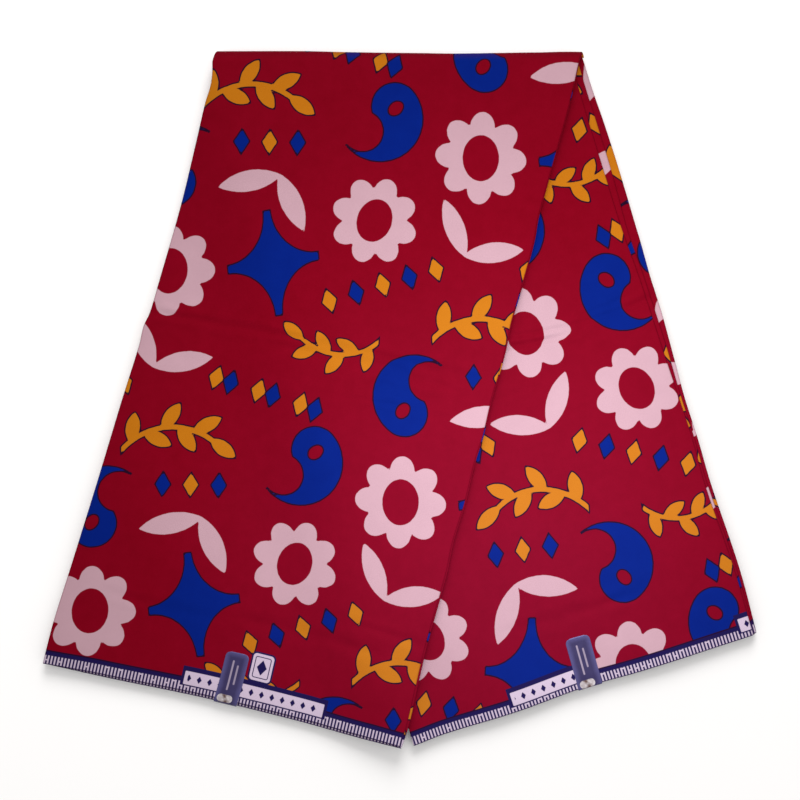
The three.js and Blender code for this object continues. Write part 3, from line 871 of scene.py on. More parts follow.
# The badge's shapes, as how far they reach past it at its side and end, and their corners.
BADGE_RIM, BADGE_PALE, BADGE_CORE = (1.5, 1.5, 4.5), (0.0, 0.0, 3.2), (-2.0, -2.2, 2.2)


def ticks(u, v, top):
    """Pale ticks along the selvedge, some of them joined in pairs."""
    pair = u / (2 * TICK_PITCH)
    which = white_noise(pair.floor())
    from_middle = abs(pair.fraction() - 0.5)
    upright = abs(from_middle - 0.25) * (2 * TICK_PITCH) - TICK_HALF_WIDTH
    between = (from_middle - 0.25) * (2 * TICK_PITCH)
    bar_height = (which > 1 - HIGH_BAR_SHARE) * BAR_RISE + BAR_HEIGHT
    bar = between.highest(abs(v - bar_height) - BAR_HALF_HEIGHT)
    shape = upright.lowest(bar + (which < UNJOINED_SHARE) * FAR)
    ends = (v - top).highest(TICK_FOOT - v)
    return inside(shape.highest(ends), TICK_SOFT)


def lozenge_panel(cloth, u, v, colours, panel):
    """A pale panel that holds a row of lozenges."""
    from_middle = abs((u / ROW_PITCH).fraction() - 0.5) * (ROW_PITCH / ROW_HALF_WIDTH)
    from_row = abs(v - (PANEL_FOOT + PANEL_HEAD) / 2) / ROW_HALF_HEIGHT
    row = (from_middle + from_row - 1.0).highest(panel + ROW_MARGIN)
    cloth = painted(cloth, colours.tick, inside(panel))
    return painted(cloth, colours.navy, inside(row, ROW_SOFT))


def badge_print(cloth, u, v, colours, badge):
    """A rounded pale badge with a thin frame and one lozenge."""
    rim, pale, core = (
        box_distance(u, v, badge.centre, (badge.half[0] + side, badge.half[1] + end), corner)
        for side, end, corner in (BADGE_RIM, BADGE_PALE, BADGE_CORE)
    )
    aside, above = abs(u - badge.centre[0]), abs(v - badge.centre[1])
    diamond = aside / BADGE_LOZENGE[0] + above / BADGE_LOZENGE[1] - 1.0
    for colour, share in (
        (colours.navy, inside(rim)),
        (colours.tick, inside(pale)),
        (colours.navy, fade(abs(core + BADGE_LINE), *BADGE_LINE_FADE)),
        (colours.navy, inside(diamond, BADGE_LOZENGE_SOFT)),
    ):
        cloth = painted(cloth, colour, share)
    return cloth


def selvedge_print(cloth, u, v, colours, panels=(), badge=None):
    """The navy band with its ticks, pale panels and badge, laid over the printed ground."""
    cloth = painted(cloth, colours.navy, inside(v - BAND_TOP))
    from_line = abs(v - (BAND_TOP - BAND_LINE))
    cloth = painted(cloth, colours.outline, fade(from_line, *BAND_LINE_FADE))
    pales, under_panel = [], 0.0
    for start, end in panels:
        middle, half = (start + end) / 2, (end - start) / 2
        framed = half + PANEL_FRAME_SIDE
        pales.append(box_distance(
            u, v, (middle, (PANEL_FOOT + PANEL_HEAD) / 2), (half, (PANEL_HEAD - PANEL_FOOT) / 2),
            PANEL_CORNER))
        frame_distance = box_distance(
            u, v, (middle, PANEL_FRAME_TOP / 2), (framed, PANEL_FRAME_TOP / 2), FRAME_CORNER)
        cloth = painted(cloth, colours.navy, inside(frame_distance))
        under_panel = (abs(u - middle) < framed) + under_panel
    top = under_panel * (PANEL_FOOT - UNDER_PANEL - TICK_LENGTH) + TICK_LENGTH
    cloth = painted(cloth, colours.tick, ticks(u, v, top))
    for pale in pales:
        cloth = lozenge_panel(cloth, u, v, colours, pale)
    return badge_print(cloth, u, v, colours, badge) if badge else cloth


# ---------------------------------------------------------------- printed cotton

COTTON_ROUGHNESS, COTTON_SPECULAR = 0.62, 0.01
SHEET_WEAVE, EDGE_WEAVE = 0.35, 0.4  # strength of the weave
LIGHT_POOL_CENTRE = (0.11, -0.17, 0.01)  # centre of the painted pool of light, where the cloth is lit brightest, in metres
LIGHT_POOL_REACH = 0.05, 0.33
SLICE_LENGTH = 15.0
SLICE_SHIFT = 41.3  # each ply's slices start this much further on
SLICE_SHARE = 0.1  # of each colour


def new_cotton(name, strength):
    """A cotton finish with its places on the cloth and its plain weave: a thread goes over
    its neighbour and then under the next, with thicker slubs here and there."""
    sizes = bpy.context.scene.wax_sizes
    material, shader = new_finish(name, COTTON_ROUGHNESS, COTTON_SPECULAR)
    vector, u, v = cloth_millimetres(shader.id_data)
    warp, weft = ((value * (math.pi / sizes.thread_pitch)).sine() for value in (u, v))
    slub = noise(vector, 0.55, 3.0, 0.6)
    add_bump(shader, slub * 1.4 + warp * weft, strength, sizes.weave_relief)
    return material, shader, vector, u, v, slub


def printed_cotton(name, panels=(), badge=None):
    """Glazed cotton with the print, the dark drawn outlines and the selvedge."""
    colours, sizes = bpy.context.scene.wax_colours, bpy.context.scene.wax_sizes
    material, shader, vector, u, v, slub = new_cotton(name, SHEET_WEAVE)
    tree = shader.id_data
    drift = noise(vector, 0.22) * 0.7 - 0.35
    blotch, mottle = noise(vector, 0.085, 3.0, 0.65), noise(vector, 0.016, 3.0, 0.55)
    uneven = blotch * 1.5 + (mottle * 0.9 - 0.7)
    ground = painted(colours.ground_dark, colours.ground, uneven)
    cloth = painted(ground, colours.ground_dark, slub * 0.5 - 0.12)
    pink = painted(colours.pink_dark, colours.pink, noise(vector, 0.05, 4.0, 0.6))
    cloth = painted(cloth, pink, inside(attribute(tree, "pink") + drift))
    for dye in ("amber", "blue"):
        shape = attribute(tree, dye) + drift
        cloth = painted(cloth, colours.outline, inside(shape - OUTLINE))
        shades = getattr(colours, dye + "_dark"), getattr(colours, dye)
        cloth = painted(cloth, painted(*shades, noise(vector, 0.06, 3.0)), inside(shape))
    cloth = selvedge_print(cloth, u, v, colours, panels, badge)
    # Painted light: a faint pale cast added round one spot of the cloth, standing in for the
    # brighter light and sheen there.
    place = add_node(tree, "ShaderNodeTexCoord", (), "Object")
    away = add_node(
        tree, "ShaderNodeVectorMath", {0: place, 1: LIGHT_POOL_CENTRE}, "Value", operation="DISTANCE")
    cloth = painted(cloth, colours.painted_light_pool, fade(away, *LIGHT_POOL_REACH), "ADD")
    # Painted shade along the folded edges and on the top fold's outline, standing in for the
    # shade there.
    cloth = painted(cloth, colours.folded_edge_painted_shade, attribute(tree, "edge") * sizes.painted_edge_shade)
    set_inputs(shader, {"Base Color": cloth})
    return material


def cotton_edges(name):
    """The edges of many plies: slices of the print on the sides, and the selvedges below."""
    colours = bpy.context.scene.wax_colours
    material, shader, vector, u, v, _ = new_cotton(name, EDGE_WEAVE)
    shifted = attribute(shader.id_data, "ply") * SLICE_SHIFT + v
    pick = white_noise((shifted / SLICE_LENGTH + noise(vector, 0.03, 1.0) * 1.6).floor())
    cloth = painted(colours.ground_dark, colours.ground, noise(vector, 0.08))
    cloth = painted(cloth, colours.pink, pick < SLICE_SHARE)
    for low, colour in ((SLICE_SHARE, colours.blue), (2 * SLICE_SHARE, colours.amber)):
        cloth = painted(cloth, colour, (pick > low) * (pick < low + SLICE_SHARE))
    set_inputs(shader, {"Base Color": selvedge_print(cloth, u, v, colours)})
    return material


# ---------------------------------------------------------------- sheets that show

# A sheet's base in its stack, its edges, where its print starts and what stands for it.
SheetPlan = namedtuple(
    "SheetPlan", "name node half base steps roll reach start fine flat area rests_on")

SHOWN_WIDTH, SHOWN_LENGTH = 330, 600


def back_reach(base):
    return fold_reach(base, FOLD_CORE_RADIUS) - GAP


FRONT_SHEETS = (
    SheetPlan(
        "front_top_cloth", "front_sheet", FRONT, FRONT_BASE, Steps(0, LEVEL, TOP_SELVEDGE_STEP),
        Roll(OUTER_ROLL_END, 14), 0.0, PrintPlace(180, 4, False), True, (0.335, 0.66), 0.207,
        ("front_under_cloth",)),
    SheetPlan(
        "front_under_cloth", "front_second_sheet", FRONT, SECOND_BASE,
        Steps(-0.9, SECOND_FOLD_STEP, LEVEL), Roll(SECOND_ROLL_END, 8), 0.0,
        PrintPlace(90, 150, True), False, (0.335, 0.65), 0.204, ("front_plies",)),
)
BACK_SHEETS = (
    SheetPlan(
        "back_top_cloth", "back_sheet", BACK, BACK_BASE, Steps(0, LEVEL, LEVEL), None,
        back_reach(BACK_BASE), PrintPlace(96, 52, True), True, (0.325, 0.64), 0.19,
        ("back_middle_cloth",)),
    SheetPlan(
        "back_middle_cloth", "back_middle_sheet", BACK, MIDDLE_BASE,
        Steps(-1.2, MIDDLE_FOLD_STEP, level(-0.4)), None, back_reach(MIDDLE_BASE),
        PrintPlace(190, 180, False), False, (0.325, 0.64), 0.19, ("back_lower_cloth",)),
    SheetPlan(
        "back_lower_cloth", "back_third_sheet", BACK, THIRD_BASE,
        Steps(0, THIRD_FOLD_STEP, level(-0.8)), None, back_reach(THIRD_BASE),
        PrintPlace(220, 99, True), False, (0.325, 0.64), 0.19, ("back_plies",)),
)


def spread(*stops):
    """Grid lines from stops of (place, number of steps to it), evenly between two stops."""
    lines = [np.array([stops[0][0]])]
    for (start, _), (end, steps) in zip(stops, stops[1:]):
        lines.append(np.linspace(start, end, steps + 1)[1:])
    return np.concatenate(lines)


def grid_lines(plan, mesh_size):
    """Columns and rows of a sheet. One that isn't fine shows only at its right edge and its
    selvedge."""
    if not plan.fine:
        columns = spread((0, 0), (0.01, 2), (0.86, 98), (0.985, 30), (1, 6))
        return columns, spread((0, 0), (0.95, 232), (1, 18))
    across, down = (2 * round(size / mesh_size / 2) for size in (SHOWN_WIDTH, SHOWN_LENGTH))
    columns = spread((0, 0), (0.012, 4), (0.988, across - 8), (1, 4))
    return columns, spread((0, 0), (0.992, down - 6), (1, 6))


def make_sheet(plan, material):
    sizes = bpy.context.scene.wax_sizes
    lines = grid_lines(plan, sizes.cloth_mesh)
    (upper, places), (lower, _) = (
        sheet_face(plan.half, *lines, height, plan.steps, sizes, plan.roll, plan.reach)
        for height in (plan.base + WALL, plan.base)
    )
    rings = rim_rings(upper, lower, sizes.rim_rings, sizes.rim_round, True)
    mesh = closed_shell(plan.name, upper, lower, places, rings, plan.start)
    piece = new_piece(plan.name, mesh, material, plan.node)


# ---------------------------------------------------------------- hidden plies

PlyStack = namedtuple(
    "PlyStack", "name node half plies top steps toe seed flat area rests_on")
PLY_RINGS = 5
PLY_ROUND = 0.45
WAVE_STEP = 3.7  # how far apart the waves of two neighbouring plies are taken
WAVE_SCALE = 16.0
PLY_CLEARANCE = 0.05  # between the top ply and the sheet over it

PLY_STACKS = (
    PlyStack(
        "back_plies", "back_layers", BACK, 5, BACK_CORE_TOP,
        Steps(-0.9, Table(THIRD_FOLD_STEP.at, tuple(o - 1.2 for o in THIRD_FOLD_STEP.out)),
              level(-1.2)),
        True, 5, (1.62, 0.64), 0.95, ()),
    PlyStack(
        "front_plies", "front_layers", FRONT, 6, FRONT_CORE_TOP,
        Steps(-1.0, level(0.0), level(-1.2)), False, 6, (2.0, 0.64), 1.17, ("back_top_cloth",)),
)


def ply_mesh(stack, settings):
    """The lowest pair of plies, with what the copies above it need to know at each point."""
    half = stack.half
    columns = spread((0, 0), (0.012, 2), (0.06, 2), (0.94, 8), (0.988, 2), (1, 2))
    rows = spread((0, 0), (0.05, 8), (0.95, 116), (1, 8))
    across, down = np.meshgrid(columns, rows[::-1])
    (upper, places), (lower, _) = (
        layer_surface(half, across, down, height, stack.steps, settings)
        for height in (PLY_WALL, 0.0)
    )
    rings = rim_rings(upper, lower, PLY_RINGS, PLY_ROUND, True)
    near_side = np.maximum(nearness(across, STEP_REACH), nearness(1 - across, STEP_REACH))
    near_end = nearness(1 - down, SELVEDGE_REACH)
    outward = outward_over_side(half, across, down) * near_side[..., None]
    outward = outward + outward_over_selvedge(half, across, down) * near_end[..., None]
    known = {
        "outward": np.concatenate((outward, np.zeros(across.shape + (1,))), axis=-1),
        "lift": press_at(half, across, down, *steps_at(stack.steps, across, down))
        + relief(half, upper[..., :2], settings) / half.top
        - PLY_SLACK * slack_share(half, across, down),
        "near_fold": nearness(down * half_size(half)[1], FOLD_PULL),
    }
    values = {name: over_shell(grid, len(rings)) for name, grid in known.items()}
    return closed_shell(stack.name, upper, lower, places, rings, values=values)


def ply_stack_tree():
    """Geometry nodes that pile copies of one ply into a stack, each a little out of line."""
    tree = bpy.data.node_groups.new("ply_stack", "GeometryNodeTree")
    kinds = {"Ply": "Geometry", "Plies": "Int", "Seed": "Int", "Finish": "Material"}
    for name in (
        "Ply", "Plies", "Pitch", "Spread", "Wander", "Seed", "Slant", "Fold Height",
        "Fold Radius", "Toe Reach", "Toe Slope", "Finish",
    ):
        kind = "NodeSocket" + kinds.get(name, "Float")
        tree.interface.new_socket(name, in_out="INPUT", socket_type=kind)
    tree.interface.new_socket("Stack", in_out="OUTPUT", socket_type="NodeSocketGeometry")
    given = {socket.name: Wire(socket) for socket in tree.nodes.new("NodeGroupInput").outputs}

    def named(name, kind="FLOAT"):
        return add_node(
            tree, "GeometryNodeInputNamedAttribute", {"Name": name}, "Attribute", data_type=kind)

    piles = add_node(
        tree, "GeometryNodeMeshLine", {"Count": given["Plies"], "Offset": (0, 0, 0)})
    copies = add_node(
        tree, "GeometryNodeInstanceOnPoints", {"Points": piles, "Instance": given["Ply"]})
    index = add_node(tree, "GeometryNodeInputIndex")
    numbered = add_node(
        tree, "GeometryNodeStoreNamedAttribute",
        {"Geometry": copies, "Name": "ply", "Value": index}, data_type="FLOAT", domain="INSTANCE")
    real = add_node(tree, "GeometryNodeRealizeInstances", {0: numbered})
    number = named("ply")
    rise = number * given["Pitch"] * named("lift")
    position = add_node(tree, "GeometryNodeInputPosition")
    jitter = add_node(
        tree, "FunctionNodeRandomValue",
        {2: -1.0, 3: 1.0, "ID": number, "Seed": given["Seed"]}, 1, data_type="FLOAT")
    waves = add_node(
        tree, "ShaderNodeTexNoise",
        {"Vector": position, "W": number * WAVE_STEP, "Scale": WAVE_SCALE, "Detail": 2.0},
        noise_dimensions="4D")
    out = jitter * given["Spread"] + (waves - 0.5) * given["Wander"]
    aside = add_node(
        tree, "ShaderNodeVectorMath", {0: named("outward", "FLOAT_VECTOR"), "Scale": out},
        operation="SCALE")
    height = add_node(tree, "ShaderNodeSeparateXYZ", {0: position}, 2) + rise
    below_axis = height - given["Fold Height"]
    square = given["Fold Radius"] * given["Fold Radius"] - below_axis * below_axis
    toe = height * given["Toe Slope"] + given["Toe Reach"]
    reach = square.highest(0.0).root().highest(toe) * named("near_fold")
    moved = add_node(
        tree, "ShaderNodeCombineXYZ", {0: reach * given["Slant"], 1: reach, 2: rise})
    offset = add_node(tree, "ShaderNodeVectorMath", {0: aside, 1: moved}, operation="ADD")
    placed = add_node(tree, "GeometryNodeSetPosition", {"Geometry": real, "Offset": offset})
    finished = add_node(
        tree, "GeometryNodeSetMaterial", {"Geometry": placed, "Material": given["Finish"]})
    set_inputs(tree.nodes.new("NodeGroupOutput"), {0: finished})
    return tree


def make_ply_stack(stack, tree, material):
    sizes = bpy.context.scene.wax_sizes
    source = new_object(stack.name + "_ply", ply_mesh(stack, sizes))
    modifier = source.modifiers.new("ply_stack", "NODES")
    modifier.node_group = tree
    toe_slope = (fold_reach(TOE_HEIGHT, FOLD_CORE_RADIUS) - TOE_REACH) / TOE_HEIGHT
    inputs = {
        "Plies": stack.plies,
        "Pitch": (stack.top - PLY_WALL - PLY_CLEARANCE) / (stack.plies - 1) * MM,
        "Spread": sizes.ply_spread * MM,
        "Wander": sizes.ply_wander * MM,
        "Seed": stack.seed,
        "Slant": stack.half.slant,
        "Fold Height": FOLD_RADIUS * MM,
        "Fold Radius": (FOLD_CORE_RADIUS - (0 if stack.toe else PLY_PAIR)) * MM,
        "Toe Reach": TOE_REACH * MM if stack.toe else 0.0,
        "Toe Slope": toe_slope if stack.toe else 0.0,
        "Finish": material,
    }
    for item in tree.interface.items_tree:
        if item.in_out == "INPUT" and item.name in inputs:
            modifier[item.identifier] = inputs[item.name]
    evaluated = source.evaluated_get(bpy.context.evaluated_depsgraph_get())
    mesh = bpy.data.meshes.new_from_object(evaluated)
    mesh.name = stack.name
    bpy.data.objects.remove(source)
    piece = new_piece(stack.name, mesh, material, stack.node)


# ---------------------------------------------------------------- foil labels

# Where a label lies on its half, and how its end turns down over the selvedge.
LabelPlan = namedtuple("LabelPlan", "name node half left right set_back turn patch_up")
Turn = namedtuple("Turn", "out height")
LABELS = (
    LabelPlan(
        "front_foil_label", "front_label", FRONT, 0.478, 0.542, 2.45,
        Turn(out=(0.5, 2.6, 3.5, 3.8, 3.8), height=(0, -0.9, -2.0, -3.6, -6.4)), 10.0),
    LabelPlan(
        "back_foil_label", "back_label", BACK, 0.488, 0.557, 0.0,
        Turn(out=(0.5, 1.1, 1.3, 1.3), height=(0, -0.5, -1.5, -6.2)), 9.5),
)
LABEL_START = 0.922
LABEL_COLUMNS = 25
LABEL_ROWS, TURN_ROWS, SET_BACK_ROWS = 49, 26, 6
LABEL_WALL = 0.22
LABEL_LIFT = 0.16
LABEL_CORNER = 4.6
LABEL_RINGS, LABEL_ROUND = 2, 0.08
FOIL_ROUGHNESS, FOIL_SPECULAR, FOIL_METAL = 0.34, 0.25, 0.2
FOIL_BUMP = 0.3, 0.3  # strength, and distance in millimetres

# Two plain bars on each label, as shares of its width and length, and the silver patch below.
Bar = namedtuple("Bar", "across along half_length strength")
LABEL_BARS = Bar(0.40, 0.40, 0.26, 0.55), Bar(0.62, 0.38, 0.17, 0.5)
BAR_HALF_WIDTH = 0.8
PATCH_ACROSS = 0.42
PATCH_HALF = 7.0, 3.6


def label_line(label, across, settings):
    """A line down the label: along the cloth, over its edge and down."""
    along = np.linspace(LABEL_START, 1, LABEL_ROWS)
    points, _ = layer_surface(
        label.half, np.full_like(along, across), along, label.half.top, Steps(0, LEVEL, LEVEL),
        settings)
    away = outward_over_selvedge(label.half, np.array([across]), np.array([1.0]))[0]
    back = label.set_back * np.linspace(1 / SET_BACK_ROWS, 1, SET_BACK_ROWS)
    points[-SET_BACK_ROWS:, :2] -= away * back[:, None]
    entries = range(len(label.turn.out))
    fine = np.linspace(0, entries[-1], TURN_ROWS)
    out, height = (np.interp(fine, entries, column) for column in label.turn)
    over = points[-1] + np.stack((away[0] * out, away[1] * out, height), axis=1)
    return np.concatenate((points, over))


def label_surface(label, settings):
    """The label's middle surface and the distance along it, with round upper corners."""
    columns = LABEL_COLUMNS
    spine = label_line(label, (label.left + label.right) / 2, settings)
    gone = np.concatenate(([0], np.cumsum(np.linalg.norm(np.diff(spine, axis=0), axis=1))))
    lines = np.stack([
        label_line(label, lerp(label.left, label.right, share), settings)
        for share in np.linspace(0, 1, columns)
    ])
    width = np.linalg.norm(lines[-1, 0] - lines[0, 0])
    near_end = np.clip(LABEL_CORNER - gone, 0, LABEL_CORNER)
    corner = LABEL_CORNER - np.sqrt(LABEL_CORNER**2 - near_end**2)
    shares = 0.5 + (np.linspace(0, 1, columns)[None] - 0.5) * (1 - 2 * corner[:, None] / width)
    place = shares * (columns - 1)
    low = np.clip(np.floor(place).astype(int), 0, columns - 2)
    row = np.arange(len(spine))[:, None]
    surface = lerp(lines[low, row], lines[low + 1, row], (place - low)[..., None])
    along = np.repeat(gone[:, None], columns, axis=1)
    return surface, np.stack((shares * width, along), axis=-1), width, gone[-1]


def label_foil(label, width, length):
    """Violet foil, lighter towards its edges, with two plain pale bars and a silver patch."""
    colours = bpy.context.scene.wax_colours
    material, shader = new_finish(label.name, FOIL_ROUGHNESS, FOIL_SPECULAR)
    vector, u, v = cloth_millimetres(shader.id_data)
    half = width / 2, length / 2
    edge = box_distance(u, v, half, half, LABEL_CORNER)
    shade = fade(edge, 0.0, -5.0) + (noise(vector, 0.09) * 0.5 - 0.2)
    foil = painted(colours.foil, colours.foil_edge, shade)
    for bar in LABEL_BARS:
        shape = box_distance(
            u, v, (bar.across * width, bar.along * length),
            (BAR_HALF_WIDTH, bar.half_length * length), BAR_HALF_WIDTH - 0.1)
        foil = painted(foil, colours.tick, inside(shape) * bar.strength)
    patch = box_distance(
        u, v, (PATCH_ACROSS * width, length - label.patch_up), PATCH_HALF, PATCH_HALF[1] - 0.2)
    silver = painted(colours.silver_dark, colours.silver, noise(vector, 0.16) * 2.4 - 0.75)
    foil = painted(foil, silver, inside(patch))
    set_inputs(shader, {"Base Color": foil, "Metallic": FOIL_METAL})
    add_bump(shader, noise(vector, 0.12), *FOIL_BUMP)
    return material


def make_label(label):
    surface, places, width, length = label_surface(label, bpy.context.scene.wax_sizes)
    normal = unit(np.cross(np.gradient(surface, axis=0), np.gradient(surface, axis=1)))
    if normal[..., 2].mean() < 0:
        normal = -normal
    upper = surface + normal * (LABEL_LIFT + LABEL_WALL)
    lower = surface + normal * LABEL_LIFT
    rings = rim_rings(upper, lower, LABEL_RINGS, LABEL_ROUND, False)
    mesh = closed_shell(label.name, upper, lower, places, rings)
    new_piece(label.name, mesh, label_foil(label, width, length), label.node)


# ---------------------------------------------------------------- the stage

FLOOR_REACH, FLOOR_DROP = 3.0, 0.0002
FLOOR_WHITE = 0.985
PAPER_ROUGHNESS, PAPER_SPECULAR = 0.9, 0.05
SURROUND_COLOUR = (1, 0.985, 0.975, 1)

# A soft round lamp, as its place, what it points at, its size and its colour.
Lamp = namedtuple("Lamp", "place aim size colour")
KEY_LAMP = Lamp((0.115, -0.038, 0.36), (0.115, -0.038, 0), 0.36, (0.98, 1.0, 1.03))
TOP_LAMP = Lamp((0.15, 2.2, 1.6), (0, 0, 0), 1.6, (1.0, 0.98, 0.97))
SENSOR_WIDTH = 36


def make_floor():
    mesh = bpy.data.meshes.new("floor")
    corners = (-1, -1), (1, -1), (1, 1), (-1, 1)
    points = [(x * FLOOR_REACH, y * FLOOR_REACH, -FLOOR_DROP) for x, y in corners]
    mesh.from_pydata(points, [], [(0, 1, 2, 3)])
    floor = new_object("floor", mesh)
    material, shader = new_finish("floor_paper", PAPER_ROUGHNESS, PAPER_SPECULAR)
    set_inputs(shader, {"Base Color": (FLOOR_WHITE, FLOOR_WHITE, FLOOR_WHITE, 1)})
    mesh.materials.append(material)


def soft_light(name, lamp, power):
    light = bpy.data.lights.new(name, "AREA")
    light.shape = "DISK"
    light.size, light.energy, light.color = lamp.size, power, lamp.colour
    made = new_object(name, light)
    way = np.array(lamp.aim, float) - np.array(lamp.place, float)
    made.location = lamp.place
    made.rotation_euler = (
        math.atan2(math.hypot(way[0], way[1]), -way[2]), 0, math.atan2(way[0], -way[1]) + math.pi)
    made.visible_camera = False
    return made


def make_lights(studio):
    world = bpy.data.worlds.new("surround")
    world.use_nodes = True
    light = {"Color": SURROUND_COLOUR, "Strength": studio.surround}
    set_inputs(world.node_tree.nodes["Background"], light)
    bpy.context.scene.world = world
    key = soft_light("key", KEY_LAMP, studio.key_power)
    key.light_linking.receiver_collection = cloth_collection()
    soft_light("top", TOP_LAMP, studio.top_power)


def make_camera(studio):
    camera = bpy.data.cameras.new("camera")
    camera.lens = studio.lens
    camera.sensor_width = SENSOR_WIDTH
    camera.clip_start, camera.clip_end = 0.05, 20
    eye = new_object("camera", camera)
    eye.location = (0, 0, studio.camera_height)
    bpy.context.scene.camera = eye


# ---------------------------------------------------------------- settings


def setting(name, about, default, low, high, kind=FloatProperty, **unit_of):
    return kind(name=name, description=about, default=default, min=low, max=high, **unit_of)


def colour_setting(name, about, default):
    return setting(name, about, default, 0, 1, FloatVectorProperty, subtype="COLOR", size=3)


class WaxSizes(PropertyGroup):
    """Sizes of the cloth's fine form, in millimetres."""

    cloth_mesh: setting("Cloth mesh", "Grid spacing of a sheet that shows, mm", 1.8, 1, 6)
    rumple_height: setting("Rumple height", "Height of the broad waves, mm", 0.5, 0, 2)
    rumple_length: setting("Rumple length", "Length of the broad waves, mm", 120, 30, 400)
    rumple_waves: setting("Rumple waves", "Number of waves in the mix", 18, 1, 60, IntProperty)
    crease_scale: setting("Crease scale", "Share of the creases' full depth", 1.5, 0, 3)
    rim_round: setting("Rim round", "How far a folded edge rounds out, mm", 0.5, 0, 1)
    rim_rings: setting("Rim rings", "Rings of mesh round a folded edge", 7, 3, 15, IntProperty)
    thread_pitch: setting("Thread pitch", "Spacing of the threads, mm", 0.42, 0.1, 2)
    weave_relief: setting("Weave relief", "Height of a thread, mm", 0.09, 0, 0.5)
    ply_spread: setting("Ply spread", "How far hidden plies lie out of line, mm", 0.7, 0, 2)
    ply_wander: setting("Ply wander", "How much a hidden ply's edge wanders, mm", 1.6, 0, 4)
    # Strength of the painted shade on the folded edges.
    painted_edge_shade: setting("Edge shade", "How dark the folded edges are", 0.3, 0, 1)


class WaxColours(PropertyGroup):
    """Colours of the print and of the labels."""

    ground: colour_setting("Ground", "Crimson ground", (0.146, 0.0006, 0.0071))
    ground_dark: colour_setting(
        "Ground, dark", "Crimson where the dye is deepest", (0.125, 0.0003, 0.0051))
    # Colour added by the painted pool of light.
    painted_light_pool: colour_setting("Bloom", "What the palest part gains", (0.001, 0.0011, 0.0055))
    pink: colour_setting("Pink", "Pale pink motifs", (0.362, 0.222, 0.256))
    pink_dark: colour_setting("Pink, dark", "Pink where it is thin", (0.33, 0.199, 0.232))
    blue: colour_setting("Blue", "Blue motifs", (0.001, 0.0098, 0.132))
    blue_dark: colour_setting("Blue, dark", "Blue where it is deepest", (0.0008, 0.0076, 0.112))
    amber: colour_setting("Amber", "Amber motifs", (0.34, 0.112, 0.005))
    amber_dark: colour_setting("Amber, dark", "Amber where it is deepest", (0.316, 0.096, 0.004))
    outline: colour_setting("Outline", "Drawn outlines", (0.011, 0.002, 0.01))
    # Colour of the painted shade on the folded edges and the top fold's outline.
    folded_edge_painted_shade: colour_setting("Fold shade", "Dye darkened on a folded edge", (0.045, 0, 0.003))
    navy: colour_setting("Navy", "Selvedge band", (0.008, 0.005, 0.042))
    tick: colour_setting("Pale", "Ticks, panels and badge", (0.39, 0.315, 0.395))
    foil: colour_setting("Foil", "Label foil", (0.022, 0.016, 0.062))
    foil_edge: colour_setting("Foil edge", "Label foil towards its edges", (0.055, 0.048, 0.14))
    silver: colour_setting("Silver", "Silver patch on the labels", (0.66, 0.62, 0.65))
    silver_dark: colour_setting("Silver, dark", "Silver patch in shade", (0.09, 0.05, 0.045))


class StudioSettings(PropertyGroup):
    """Camera and lights over the cloth."""

    camera_height: setting("Camera height", "Above the surface", 1.71, 0.5, 5, unit="LENGTH")
    lens: setting("Lens", "Focal length, mm", 85, 20, 200)
    surround: setting("Surround", "Strength of the light from all round", 0.72, 0, 3)
    key_power: setting(
        "Key light", "Power of the soft light over the cloth", 2.2, 0, 200, unit="POWER")
    top_power: setting(
        "Top light", "Power of the soft light beyond the fold", 54.0, 0, 400, unit="POWER")


# ---------------------------------------------------------------- operators


class WAX_OT_stage(Operator):
    """Set up the floor, the soft lights and the camera over the cloth"""

    bl_idname = "wax.stage"
    bl_label = "Stage"

    def execute(self, context):
        studio = context.scene.wax_studio
        make_floor()
        make_lights(studio)
        make_camera(studio)
        context.scene.view_settings.view_transform = "Standard"
        return {"FINISHED"}


class WAX_OT_front_sheets(Operator):
    """Make the two upper sheets of the front half, which turn over the top fold"""

    bl_idname = "wax.front_sheets"
    bl_label = "Front sheets"

    def execute(self, context):
        top, under = FRONT_SHEETS
        make_sheet(top, printed_cotton("front_print", FRONT_PANELS, FRONT_BADGE))
        make_sheet(under, printed_cotton("inner_print"))
        return {"FINISHED"}


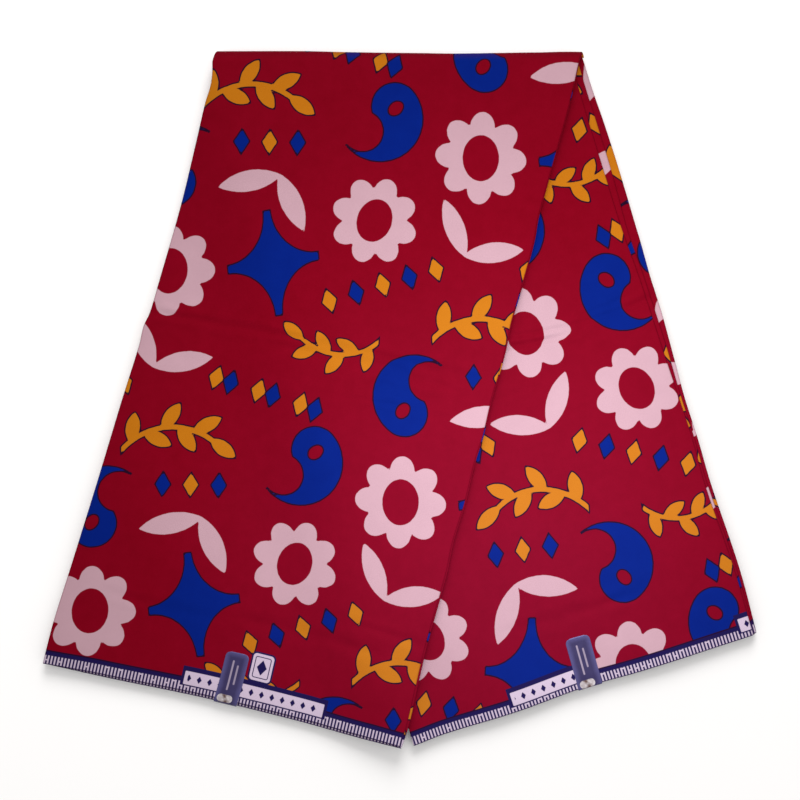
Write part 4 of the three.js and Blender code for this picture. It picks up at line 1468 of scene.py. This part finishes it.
class WAX_OT_back_sheets(Operator):
    """Make the three upper sheets of the back half, stepped out on the right"""

    bl_idname = "wax.back_sheets"
    bl_label = "Back sheets"

    def execute(self, context):
        top, lower = printed_cotton("back_print", BACK_PANELS), printed_cotton("lower_print")
        for plan, finish in zip(BACK_SHEETS, (top, lower, lower)):
            make_sheet(plan, finish)
        return {"FINISHED"}


class WAX_OT_hidden_plies(Operator):
    """Pile up the hidden plies of both halves, which show as grooved edges"""

    bl_idname = "wax.hidden_plies"
    bl_label = "Hidden plies"

    def execute(self, context):
        tree, material = ply_stack_tree(), cotton_edges("ply_edges")
        for stack in PLY_STACKS:
            make_ply_stack(stack, tree, material)
        return {"FINISHED"}


class WAX_OT_labels(Operator):
    """Lay the two foil labels over the selvedges"""

    bl_idname = "wax.labels"
    bl_label = "Foil labels"

    def execute(self, context):
        for label in LABELS:
            make_label(label)
        return {"FINISHED"}


# ---------------------------------------------------------------- panel and registration


class WAX_PT_panel(Panel):
    """The pieces of the folded cloth, with their settings"""

    bl_label = "Wax Print"
    bl_idname = "WAX_PT_panel"
    bl_space_type = "VIEW_3D"
    bl_region_type = "UI"
    bl_category = "Wax Print"

    def draw(self, context):
        for operator in OPERATORS:
            self.layout.operator(operator.bl_idname)
        for group in SETTINGS:
            settings = getattr(context.scene, group)
            box = self.layout.box()
            for name in settings.bl_rna.properties.keys():
                if name not in ("rna_type", "name"):
                    box.prop(settings, name)


OPERATORS = (
    WAX_OT_stage,
    WAX_OT_front_sheets,
    WAX_OT_back_sheets,
    WAX_OT_hidden_plies,
    WAX_OT_labels,
)
SETTINGS = {"wax_sizes": WaxSizes, "wax_colours": WaxColours, "wax_studio": StudioSettings}


def register():
    for cls in (*SETTINGS.values(), *OPERATORS, WAX_PT_panel):
        bpy.utils.register_class(cls)
    for name, group in SETTINGS.items():
        setattr(bpy.types.Scene, name, PointerProperty(type=group))


def unregister():
    for name in SETTINGS:
        delattr(bpy.types.Scene, name)
    for cls in (WAX_PT_panel, *reversed(OPERATORS), *SETTINGS.values()):
        bpy.utils.unregister_class(cls)


def main():
    register()
    bpy.ops.wax.stage()
    bpy.ops.wax.front_sheets()
    bpy.ops.wax.back_sheets()
    bpy.ops.wax.hidden_plies()
    bpy.ops.wax.labels()
    bpy.context.view_layer.update()


if __name__ == "__main__":
    main()
